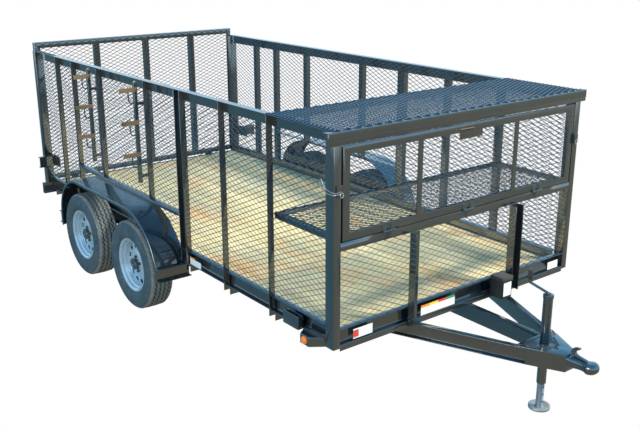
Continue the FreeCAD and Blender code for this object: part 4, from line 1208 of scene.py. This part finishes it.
@dataclass(frozen=True)
class Tyre:
    """A trailer tyre with ribs and zigzag grooves."""

    radius: float = 0.345
    bead: float = 0.1908
    width: float = 0.202
    half_section: tuple = ((0.37, 0.0), (0.375, 0.06), (0.395, 0.085), (0.43, 0.17),
                           (0.478, 0.27), (0.488, 0.30), (0.4985, 0.40), (0.5, 0.5),
                           (0.5, 0.60), (0.484, 0.615), (0.487, 0.70), (0.466, 0.80),
                           (0.462, 0.84), (0.44, 0.90), (0.40, 0.955), (0.36, 0.985))
    grooves: tuple = (-0.051, -0.0175, 0.0175, 0.051)
    groove_half: float = 0.0052
    groove_depth: float = 0.0075
    groove_shape: tuple = ((-1.2, 0), (-0.8, 1), (0.8, 1), (1.2, 0))
    crown_drop: float = 0.0035
    crown_half: float = 0.07
    zigzag: float = 0.0065
    waves: int = 54
    wave_steps: int = 4
    notch: float = 0.0035
    notch_drops: tuple = (0.022, 0.004)
    tread_drop: float = 0.016

    def columns(self) -> tuple[np.ndarray, np.ndarray, np.ndarray]:
        """The tyre's section, from bead to bead across the tread.

        The crown falls by its drop times the square of the place across over the crown's half.

        Returns:
            Place across, radius, and the share of the zigzag that each point follows.
        """
        tall = self.radius - self.bead
        flank = rounded_line([(share * self.width, self.bead + rise * tall)
                              for share, rise in self.half_section], 2)
        tread = np.array([(middle + offset * self.groove_half, deep)
                          for middle in self.grooves for offset, deep in self.groove_shape])
        crown = self.radius - self.crown_drop * (tread[:, 0] / self.crown_half) ** 2
        crown -= tread[:, 1] * self.groove_depth
        y = np.concatenate([-flank[:, 0], tread[:, 0], flank[::-1, 0]])
        r = np.concatenate([flank[:, 1], crown, flank[::-1, 1]])
        still = np.zeros(len(flank))
        return y, r, np.concatenate([still, np.ones(len(tread)), still])

    def form(self, centre: Rows) -> Form:
        """The tyre about its axle.

        The grooves swing across by the zigzag times a triangle wave of the turn, and the
        shoulders are notched by a square wave of it.

        Args:
            centre: The wheel's centre.

        Returns:
            The tyre's form.
        """
        y, r, follow = self.columns()
        steps = self.waves * self.wave_steps
        turn = turns(steps)
        beat = np.arange(steps) % self.wave_steps
        wave = np.abs(beat / self.wave_steps - 0.5) * 4 - 1
        inside, outside = (self.radius - drop for drop in self.notch_drops)
        shoulder = (follow == 0) & (r > inside) & (r < outside)
        across = y[:, None] + follow[:, None] * wave[None] * self.zigzag
        reach = r[:, None] - shoulder[:, None] * (beat < 1)[None] * self.notch
        points = np.stack([reach * np.cos(turn), across, reach * np.sin(turn)], axis=-1)
        faces = grid_faces(len(y), steps, wrap_rows=True, wrap_columns=True)
        return Form((points + np.asarray(centre)).reshape(-1, 3), (faces,)).outward()

    def tread_faces(self) -> np.ndarray:
        """Whether each face of the form lies on the tread's ribs, in the order of its faces.
        These take the paler tread rubber, partly dust and wear; the groove bottoms keep the
        darker rubber as painted shade.
        """
        _, reach, follow = self.columns()
        high = self.radius - self.tread_drop
        rib_wear_groove_shade = (reach > high) & ((follow == 0) | (reach > self.radius - self.groove_depth / 2))
        rib_wear_groove_shade = rib_wear_groove_shade & np.roll(rib_wear_groove_shade, -1)
        return np.repeat(rib_wear_groove_shade, self.waves * self.wave_steps)


@dataclass(frozen=True)
class Rim:
    """A pressed steel wheel: a dropped barrel with lips and a disc with oval vents."""

    outline: tuple = ((0.0835, 0.2080), (0.0835, 0.2030), (0.0800, 0.1960), (0.0740, 0.1880),
                      (0.0560, 0.1860), (0.0500, 0.1740), (0.0100, 0.1700), (0.0060, 0.1670),
                      (0.0000, 0.1670), (0.0000, 0.1720), (0.0480, 0.1780), (0.0540, 0.1900),
                      (0.0720, 0.1930), (0.0760, 0.2040), (0.0790, 0.2080))
    disc: tuple = ((0.0380, 0.0420), (0.0380, 0.0800), (0.0350, 0.0900), (0.0290, 0.1050),
                   (0.0255, 0.1200), (0.0250, 0.1500), (0.0200, 0.1600), (0.0080, 0.1680))
    wall: float = 0.004
    steps: int = 72
    vents: int = 12
    vent_ring: float = 0.1400
    vent_half: tuple = (0.0215, 0.0180)
    vent_bevel: float = 0.0015
    vent_steps: int = 32
    zone: tuple = (0.1180, 0.1600)
    loop_shares: tuple = (1.0, 0.5, 0.12, 0.0, 0.0, 0.5, 1.0)

    def height(self, radius: Rows) -> np.ndarray:
        """How far the disc's face stands outside of the wheel's plane at a radius."""
        face = np.array(self.disc)
        return np.interp(radius, face[:, 1], face[:, 0])

    def vented(self, centre: Rows, way: float) -> Form:
        """The ring of the disc that holds the vents, one closed cell for each vent.

        In a cell the points run in loops from the oval (a cos t, b sin t) to the edge of the
        cell, first on the face and then back on the inside.

        Args:
            centre: The wheel's centre.
            way: 1 on the left side and -1 on the right.

        Returns:
            The ring's form.
        """
        loop = turns(self.vent_steps)
        flat = np.stack([np.cos(loop), np.sin(loop)], axis=-1)
        square = flat / np.abs(flat).max(1)[:, None]
        half_turn = math.pi / self.vents
        low, high = self.zone
        oval = flat * [self.vent_half[0] / self.vent_ring, self.vent_half[1]]
        rise = np.where(square[:, 1] > 0, high - self.vent_ring, self.vent_ring - low)
        cell_edge = np.stack([square[:, 0] * half_turn, square[:, 1] * rise], axis=-1)
        shares = np.array(self.loop_shares)
        depth = np.array([0.0, 0.0, 0.0, self.vent_bevel, self.wall, self.wall, self.wall])
        place = oval + shares[:, None, None] * (cell_edge - oval)
        turn = (np.arange(self.vents)[:, None, None] + 0.5) * 2 * half_turn + place[None, ..., 0]
        radius = self.vent_ring + np.broadcast_to(place[None, ..., 1], turn.shape)
        out = (self.height(radius) - depth[None, :, None]) * way
        points = np.stack([radius * np.cos(turn), out, radius * np.sin(turn)], axis=-1)
        one = grid_faces(len(shares), len(loop), wrap_rows=True, wrap_columns=True)
        starts = np.arange(self.vents) * len(shares) * len(loop)
        faces = (one[None] + starts[:, None, None]).reshape(-1, 4)
        return Form((points + np.asarray(centre)).reshape(-1, 3), (faces,)).outward()

    def form(self, centre: Rows, way: float) -> Form:
        """The whole rim about its axle.

        Args:
            centre: The wheel's centre.
            way: 1 on the left side and -1 on the right.

        Returns:
            The rim's form: the disc inside and outside of the vents, the barrel's two halves
            and the ring of vents.
        """
        face = np.array(self.disc)
        low, high = self.zone
        inner = np.concatenate([face[face[:, 1] < low], [[self.height(low), low]]])
        rest = np.concatenate([[[self.height(high), high]], face[face[:, 1] > high]])
        rings = [np.concatenate([part, part[::-1] - [self.wall, 0]]) for part in (inner, rest)]
        barrel = np.array(self.outline)
        turned = [lathe(line * [way, 1.0], centre, Axis.Y, self.steps)
                  for line in (*rings, barrel, barrel * [-1.0, 1.0])]
        return joined([*turned, self.vented(centre, way)])


@dataclass(frozen=True)
class Wheel:
    """What is seen of a wheel: its tyre, rim, brake drum, hub cap and nuts."""

    end: str
    hand: Mirror
    disc_face: float = 0.038
    drum: tuple = ((-0.030, 0.045), (-0.030, 0.164), (0.002, 0.164), (0.006, 0.160),
                   (0.006, 0.045))
    drum_steps: int = 48
    cap_radius: float = 0.0415
    cap_reach: float = 0.0725
    cap_shape: tuple = ((0.0, POLE), (0.0, 1.0), (0.75, 1.0), (0.9, 0.93), (1.0, 0.7),
                        (1.0, 0.35), (0.93, 0.3), (0.93, POLE))
    cap_steps: int = 40
    nut_circle: float = 0.05715
    nut_count: int = 5
    nut_radius: float = 0.0125
    nut_length: float = 0.017
    nut_shape: tuple = ((0.0, POLE), (0.0, 1.0), (0.72, 1.0), (0.9, 0.72), (1.0, POLE))
    nut_sides: int = 6
    nut_start: float = 0.25

    def nut(self, centre: Rows, turn: float) -> Form:
        """A six-sided nut with a rounded end on the bolting face.

        Args:
            centre: The wheel's centre.
            turn: Where it stands on its circle, as an angle.

        Returns:
            The nut's form.
        """
        way = self.hand.value
        profile = np.array(self.nut_shape) * [way * self.nut_length, self.nut_radius]
        spot = centre + np.array([math.cos(turn) * self.nut_circle, way * self.disc_face,
                                  math.sin(turn) * self.nut_circle])
        return lathe(profile, spot, Axis.Y, self.nut_sides)

    def build(self) -> None:
        """Make the pieces."""
        name = "%s_%s" % (self.end, self.hand.word)
        low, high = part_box("tyre_" + name)
        centre = np.array((low + high) / 2)
        body, way, tyre = "wheel_" + name, self.hand.value, Tyre()
        # The ribs take the paler, dusty tread rubber; the groove bottoms keep the darker rubber
        # as painted shade.
        piece("treaded_tyre_" + name, tyre.form(centre), finish("tyre_rubber"), body,
              ["tyre_" + name], soft_angle=28.0,
              zone=(finish("tread_rubber"), tyre.tread_faces()))
        drum = lathe(np.array(self.drum) * [way, 1.0], centre, Axis.Y, self.drum_steps)
        piece("brake_drum_" + name, drum, finish("black_plastic"), body)
        piece("vented_rim_" + name, Rim().form(centre, way), finish("silver_paint"), body,
              ["rim_" + name], soft_angle=40.0)
        cap = lathe(np.array(self.cap_shape) * [way * (self.cap_reach - self.disc_face),
                                                self.cap_radius],
                    centre + np.array([0, way * self.disc_face, 0]), Axis.Y, self.cap_steps)
        piece("hub_cap_" + name, cap, finish("black_paint"), body)
        places = (np.arange(self.nut_count) + self.nut_start) * 2 * math.pi / self.nut_count
        piece("wheel_nuts_" + name, joined([self.nut(centre, turn) for turn in places]),
              finish("spring_steel"), body)


# Tongue fittings


@dataclass(frozen=True)
class Coupler:
    """The ball coupler: a neck that swells into a deep rounded head, with its hooked latch."""

    sections: int = 19
    ring: int = 40
    crowding: float = 1.6
    drop: float = 0.020
    head: float = 0.050
    neck_places: tuple = (0.0, 0.45, 0.62)
    neck_shares: tuple = (0.98, 0.72, 0.74)
    tall_places: tuple = (0.0, 0.5, 0.7, 1.0)
    tall_shares: tuple = (0.96, 0.8, 1.0, 1.0)
    power_places: tuple = (0.0, 0.5, 1.0)
    powers: tuple = (0.42, 0.6, 0.8)
    least_share: float = 0.0004
    slope: float = 0.004
    latch_wall: float = 0.017
    latch_rise: float = 0.068
    latch_sink: float = 0.004
    latch_line: tuple = ((0.42, 0.0), (0.10, 0.02), (0.0, 0.35), (0.08, 0.80), (0.44, 1.0),
                         (0.50, 0.84), (0.27, 0.64), (0.24, 0.36), (0.40, 0.22),
                         (0.86, 0.12), (0.90, 0.0))
    latch_edge: float = 0.002

    def body_form(self) -> Form:
        """The coupler's shell.

        Its sections are rounded oblongs (a sgn(cos t) |cos t|^p, b sgn(sin t) |sin t|^p), with
        p rising from the neck to the tip, where they come near to ovals. The half width narrows
        along the neck, swells at the head and closes there as a circle does.

        Returns:
            The shell's form.
        """
        low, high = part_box("coupler")
        bottom, length, head = low.z - self.drop, high.x - low.x, self.head
        share = 1 - (1 - np.linspace(0, 1, self.sections)) ** self.crowding
        x = low.x + share * length
        head_start = 1 - head / length
        bulge = np.clip((share - head_start) / (1 - head_start), 0, 1)
        neck = head * np.interp(share, [*self.neck_places, head_start, 1],
                                [*self.neck_shares, 1, 1])
        half = (high.z - bottom) / 2
        width = neck * np.sqrt(np.clip(1 - bulge ** 2, self.least_share, 1))
        tall = half * np.interp(share, self.tall_places, self.tall_shares)
        tall = tall * np.sqrt(np.clip(1 - bulge ** 3, self.least_share, 1))
        power = np.interp(share, self.power_places, self.powers)[:, None]
        turn = turns(self.ring)
        c, d = np.cos(turn), np.sin(turn)
        y = width[:, None] * np.sign(c) * np.abs(c) ** power
        z = tall[:, None] * np.sign(d) * np.abs(d) ** power
        middle = high.z - half - (0.5 - share) * self.slope
        points = np.stack([np.broadcast_to(x[:, None], y.shape), y, z + middle[:, None]], -1)
        points[..., 2] = np.clip(points[..., 2], bottom, high.z)
        end = np.arange(self.ring)[None]
        faces = (grid_faces(self.sections, self.ring, wrap_columns=True), end,
                 end[:, ::-1] + (self.sections - 1) * self.ring)
        return Form(points.reshape(-1, 3), faces).outward()

    def latch_form(self) -> Form:
        """The latch: a hooked lever that rises from the neck and leans forward at its top.

        Returns:
            The lever's form.
        """
        low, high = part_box("coupler_latch")
        y, span = -self.latch_wall / 2, high.x - low.x
        line = [(low.x + along * span, y, low.z - self.latch_sink + rise * self.latch_rise)
                for along, rise in self.latch_line]
        return plate(rounded_line(line, 2, closed=True), (0, self.latch_wall, 0))

    def build(self) -> None:
        """Make the pieces."""
        piece("coupler_shell", self.body_form(), finish("black_paint"), stands_for=["coupler"])
        piece("coupler_lever", self.latch_form(), finish("black_paint"),
              stands_for=["coupler_latch"], edge=self.latch_edge)


@dataclass(frozen=True)
class Jack:
    """Fittings of the tongue jack: the crank's grip, and dark patches on the leg that are
    painted shade of its pin holes.
    """

    grip_radius: float = 0.0146
    grip_length: float = 0.094
    grip_below_top: float = 0.093
    grip_steps: int = 24
    leg_radius: float = 0.0225
    proud: float = 0.00015
    hole_radius: float = 0.007
    hole_shares: tuple = (0.02, 0.265, 0.51, 0.755, 1.0)
    hole_steps: int = 24
    hole_low: float = 0.045
    hole_pitch: float = 0.05
    hole_count: int = 3

    def hole(self, height: float) -> Form:
        """One dark round patch, curved on the leg: painted shade of a pin hole.

        Its points lie at x = sqrt(r^2 - y^2) ahead of the leg's axis, a hair over the leg's
        surface on the way out from the middle and a hair under it on the way back.

        Args:
            height: The height of its middle.

        Returns:
            The patch's form.
        """
        low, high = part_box("jack_leg")
        turn = turns(self.hole_steps)
        shares = np.array([*self.hole_shares, *self.hole_shares[::-1]])
        way = np.repeat([1.0, -1.0], len(self.hole_shares))[:, None]
        rings = shares[:, None] * self.hole_radius
        y, z = rings * np.cos(turn), rings * np.sin(turn)
        x = (low.x + high.x) / 2 + np.sqrt((self.leg_radius + way * self.proud) ** 2 - y ** 2)
        faces = grid_faces(len(shares), len(turn), wrap_rows=True, wrap_columns=True)
        points = np.stack([x, y, z + height], axis=-1).reshape(-1, 3)
        return Form(points, (faces,)).outward()

    def build(self) -> None:
        """Make the pieces."""
        low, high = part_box("jack_crank")
        grip_x = low.x + (high.y - low.y) / 2
        profile = rounded_line([(0, POLE), (0, self.grip_radius),
                                (self.grip_length, self.grip_radius),
                                (self.grip_length, POLE)], 1)
        grip = lathe(profile, (grip_x, 0, high.z - self.grip_below_top), Axis.Z,
                     self.grip_steps)
        piece("crank_grip", grip, finish("black_plastic"))
        # Dark patches as painted shade of the leg's pin holes.
        holes = [self.hole(self.hole_low + k * self.hole_pitch) for k in range(self.hole_count)]
        piece("jack_leg_hole_shade", joined(holes), finish("black_plastic"), "jack_foot")


# Labels and small fittings


@dataclass(frozen=True)
class Label:
    """A blank upright label that lies on a face."""

    name: str
    corner: tuple
    wide: Axis
    size: tuple
    coating: str
    card: float = 0.0004

    def build(self) -> None:
        """Make the piece: a thin card that stands off its face by its own thickness."""
        out = np.abs(np.cross(self.wide.array, Axis.Z.array)) * self.card
        low = np.array(self.corner)
        high = low + self.wide.array * self.size[0] + Axis.Z.array * self.size[1] + out
        piece(self.name, block(low, high), finish(self.coating))


@dataclass(frozen=True)
class Labels:
    """The blank labels of the front channel, the battery box and the right side rail.

    A row of the front channel's labels says name, place across, height over the channel's
    foot, width, height and finish.
    """

    gap: float = 0.0002
    overlay: float = 0.0003
    rail_gap: float = 0.0006
    channel_web: float = 0.102
    front: tuple = (("front", -0.379, 0.010, 0.302, 0.050, "white_label"),
                    ("front_right", -0.930, 0.016, 0.150, 0.062, "white_label"),
                    ("front_end", 0.865, 0.014, 0.110, 0.055, "white_label"))
    right_mark: tuple = ("front_right_red", -0.930, 0.024, 0.042, 0.046, "red_label")
    bands: tuple = ("orange", "yellow", "red", "green")
    band_start: float = -0.379
    band_rise: float = 0.060
    band_size: tuple = (0.0755, 0.017)
    battery_margin: tuple = (0.012, 0.018)
    battery_size: tuple = (0.074, 0.094)
    rail_back: float = 1.672
    rail_rise: float = 0.010
    rail_size: tuple = (0.150, 0.046)
    rail_band: tuple = (0.070, 0.012)

    def on_channel(self) -> list[Label]:
        """The labels of the front channel, its four bands side by side over the first one.

        Returns:
            The labels.
        """
        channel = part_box("front_channel")[1]
        face, foot = channel.x + self.gap, channel.z - self.channel_web
        rows = [(face, row) for row in self.front]
        rows.append((face + self.overlay, self.right_mark))
        rows += [(face, ("front_" + word, self.band_start + k * self.band_size[0],
                         self.band_rise, *self.band_size, word + "_label"))
                 for k, word in enumerate(self.bands)]
        return [Label("label_" + name, (x, y, foot + rise), Axis.Y, (wide, tall), colour)
                for x, (name, y, rise, wide, tall, colour) in rows]

    def elsewhere(self) -> list[Label]:
        """The labels of the battery box and of the right side rail.

        Returns:
            The labels.
        """
        low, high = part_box("battery_box")
        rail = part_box("side_rails")[0]
        side, rise = self.battery_margin
        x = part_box("front_channel")[1].x - self.rail_back
        y, z = rail.y - self.rail_gap, rail.z + self.rail_rise
        return [Label("label_battery", (high.x + self.gap, low.y + side, low.z + rise), Axis.Y,
                      self.battery_size, "white_label"),
                Label("label_rail", (x, y, z), Axis.X, self.rail_size, "white_label"),
                Label("label_rail_orange", (x, y, z + self.rail_size[1]), Axis.X,
                      self.rail_band, "orange_label")]

    def build(self) -> None:
        """Make the pieces."""
        for label in (*self.on_channel(), *self.elsewhere()):
            label.build()


@dataclass(frozen=True)
class DoorPull:
    """The pull of the drop-down door, over a thin dark sheet under the header that is painted
    shade of its recess.
    """

    middle: float = -0.045
    height: float = 1.620
    recess_shade_half: tuple = (0.10, 0.012)
    recess_shade_reach: tuple = (0.0001, 0.0006)
    bar_half: float = 0.06
    bar_ahead: float = 0.004
    bar_radius: float = 0.0035

    def build(self) -> None:
        """Make the pieces."""
        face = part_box("front_channel")[1].x
        wide, tall = self.recess_shade_half
        near, far = self.recess_shade_reach
        # A thin dark sheet on the door face: painted shade of the pull's recess.
        recess_shade = block((face + near, self.middle - wide, self.height - tall),
                       (face + far, self.middle + wide, self.height + tall))
        x = face + self.bar_ahead
        bar = tube([(x, self.middle - self.bar_half, self.height),
                    (x, self.middle + self.bar_half, self.height)], self.bar_radius)
        piece("door_pull_recess_shade", recess_shade, finish("black_plastic"), "front_door")
        piece("door_pull", bar, finish("bronze_plate"), "front_door")


@dataclass(frozen=True)
class DoorLatch:
    """A spring latch on a front post: a dark body, a ring on its pin and a loop of wire.

    Places are ahead of the post's front face, out from its outer face and over the height.
    """

    hand: Mirror
    height: float = 1.405
    body_low: tuple = (0.0, -0.052, -0.033)
    body_high: tuple = (0.014, -0.014, 0.033)
    body_edge: float = 0.003
    ring_middle: tuple = (0.019, -0.040, -0.022)
    ring_half: tuple = (0.011, 0.014)
    ring_steps: int = 24
    ring_wire: float = 0.0026
    wire: float = 0.0022
    wire_sides: int = 8
    route: tuple = ((0.018, -0.034, -0.012), (0.010, 0.004, -0.020), (-0.080, 0.004, -0.022),
                    (-0.120, 0.004, 0.012), (-0.122, 0.004, 0.046), (-0.106, 0.004, 0.052),
                    (-0.096, 0.004, 0.030), (-0.060, 0.004, -0.002), (0.010, 0.004, -0.010),
                    (0.018, -0.034, 0.0))

    def build(self) -> None:
        """Make the pieces."""
        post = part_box("front_posts")[1]
        start = np.array([post.x, post.y, self.height])
        body = self.hand.block(start + self.body_low, start + self.body_high)
        piece("latch_body_" + self.hand.word, body, finish("black_plastic"),
              edge=self.body_edge)
        turn = turns(self.ring_steps)
        wide, tall = self.ring_half
        ring = (self.hand.spot(start + self.ring_middle)
                + np.stack([0 * turn, wide * np.cos(turn), tall * np.sin(turn)], axis=-1))
        loop = tube(ring, self.ring_wire, closed=True)
        line = tube(rounded_line(self.hand.spot(start + np.array(self.route)), 2), self.wire,
                    self.wire_sides)
        piece("latch_wire_" + self.hand.word, joined([loop, line]), finish("steel_wire"))


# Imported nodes, stage and camera


NODE_FINISHES = {entry["node"]: entry["material_slot"] for entry in frame["record"]["subparts"]}
BEVELLED = {"black_paint", "bronze_plate", "treated_pine", "black_plastic", "silver_paint"}
WELD_REACH = 1e-5


def dress_nodes() -> None:
    """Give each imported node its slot's finish and, where it is cut from bars, soft edges."""
    for name, node in frame["nodes"].items():
        slot = NODE_FINISHES[name]
        node.data.materials.clear()
        node.data.materials.append(finish(slot))
        node.modifiers.new("weld", "WELD").merge_threshold = WELD_REACH
        if slot in BEVELLED and not node.hide_render:
            soften(node, RAIL_EDGE)
        shade(node.data, SMOOTH_ANGLE)


@dataclass(frozen=True)
class Camera:
    """The photo's camera: its place from the front channel's face, its aim and its lens."""

    front_face: float = 1.7062
    place: tuple = (3.5196, -3.9334, 2.7386)
    azimuth: float = math.radians(51.925)
    elevation: float = math.radians(17.805)
    focal_share: float = 868.7 / 640
    far: float = 100.0

    def build(self) -> None:
        """Make the camera."""
        back = Vector((math.sin(self.azimuth) * math.cos(self.elevation),
                       -math.cos(self.azimuth) * math.cos(self.elevation),
                       math.sin(self.elevation)))
        lens = bpy.data.cameras.new("camera")
        lens.lens = self.focal_share * lens.sensor_width
        lens.clip_end = self.far
        camera = bpy.data.objects.new("camera", lens)
        camera.location = Vector(self.place) + Vector((self.front_face, 0, 0))
        camera.rotation_mode = "QUATERNION"
        camera.rotation_quaternion = (-back).to_track_quat("-Z", "Y")
        bpy.context.scene.collection.objects.link(camera)
        bpy.context.scene.camera = camera


@dataclass(frozen=True)
class Lamp:
    """A square soft light that looks at a point and is seen in gloss or not."""

    name: str
    place: tuple
    target: tuple
    size: float
    power: float
    colour: tuple
    mirrored: bool

    def build(self) -> None:
        """Make the light."""
        light = bpy.data.lights.new(self.name, "AREA")
        light.size = self.size
        light.energy = self.power
        light.color = self.colour
        lamp = bpy.data.objects.new(self.name, light)
        lamp.location = self.place
        lamp.rotation_mode = "QUATERNION"
        look = Vector(self.target) - Vector(self.place)
        lamp.rotation_quaternion = look.to_track_quat("-Z", "Y")
        lamp.visible_glossy = self.mirrored
        bpy.context.scene.collection.objects.link(lamp)


@dataclass(frozen=True)
class Studio:
    """White for the camera, and for all else a blue sky over earth that is warm ahead."""

    sky_stops: tuple = ((0.5, (0.80, 0.95, 1.0)), (0.72, (0.22, 0.57, 0.95)),
                        (0.95, (0.08, 0.30, 0.60)))
    earth: tuple = (0.25, 0.24, 0.19)
    shade: tuple = (0.085, 0.185, 0.24)
    earth_way: tuple = (1.0, 0.1, 0.0)
    earth_limits: tuple = (-0.65, -0.15)
    horizon_limits: tuple = (-0.04, 0.06)
    strength: float = 1.25
    lamps: tuple = (Lamp("key", (4.5, 3.5, 6.5), (0.3, 0, 0.5), 1.6, 1500.0,
                         (1.0, 0.92, 0.78), False),
                    Lamp("fill", (3.0, -7.0, 3.5), (0.0, 0, 0.8), 4.0, 260.0,
                         (0.93, 0.97, 1.0), True))

    def ambient(self, tree: NodeTree) -> bpy.types.NodeSocket:
        """The colour of the light that comes from a direction.

        The sky is a ramp over the direction's height. Below the horizon the colour goes from
        shade behind the trailer to earth beside and ahead of it.

        Args:
            tree: The world's nodes.

        Returns:
            The colour's output.
        """
        way = tree.add("ShaderNodeTexCoord").outputs["Generated"]
        height = tree.parts(way)[2]
        sky = tree.add("ShaderNodeValToRGB")
        tree.wire(tree.ramp(height, -1.0, 1.0), sky.inputs[0])
        stops = sky.color_ramp.elements
        stops.new((self.sky_stops[0][0] + self.sky_stops[-1][0]) / 2)
        for stop, (place, colour) in zip(stops, self.sky_stops):
            stop.position = place
            stop.color = (*colour, 1.0)
        ahead = tree.add("ShaderNodeVectorMath", operation="DOT_PRODUCT")
        tree.wire(way, ahead.inputs[0])
        tree.wire(self.earth_way, ahead.inputs[1])
        warm = tree.ramp(ahead.outputs["Value"], *self.earth_limits)
        ground = tree.mixed(warm, self.shade, self.earth)
        return tree.mixed(tree.ramp(height, *self.horizon_limits), ground, sky.outputs[0])

    def world(self) -> None:
        """Make the world: plain white for the camera's own rays, the ambient for the rest."""
        world = bpy.data.worlds.new("studio")
        bpy.context.scene.world = world
        world.use_nodes = True
        tree = NodeTree(world.node_tree)
        around = tree.tree.nodes["Background"]
        tree.wire(self.ambient(tree), around.inputs["Color"])
        tree.wire(self.strength, around.inputs["Strength"])
        white = tree.add("ShaderNodeBackground")
        tree.wire((1.0, 1.0, 1.0), white.inputs["Color"])
        mix = tree.add("ShaderNodeMixShader")
        seen = tree.add("ShaderNodeLightPath").outputs["Is Camera Ray"]
        for source, target in zip((seen, around.outputs[0], white.outputs[0]), mix.inputs):
            tree.wire(source, target)
        tree.wire(mix.outputs[0], tree.tree.nodes["World Output"].inputs[0])

    def build(self) -> None:
        """Make the world and the lights."""
        self.world()
        for lamp in self.lamps:
            lamp.build()
        bpy.context.scene.view_settings.view_transform = "Standard"


def main() -> None:
    """Build the looks of the trailer."""
    logging.basicConfig(level=logging.INFO, format="%(message)s")
    wheels = [Wheel(end, hand) for end in ("front", "rear") for hand in Mirror]
    latches = [DoorLatch(hand) for hand in Mirror]
    for part in (Walls(), Fender(), TopRails(), Stakes(), Racks(), Lamps(), *wheels, Coupler(),
                 Jack(), DoorPull(), *latches, Labels()):
        part.build()
    dress_nodes()
    Studio().build()
    Camera().build()


if __name__ == "__main__":
    main()
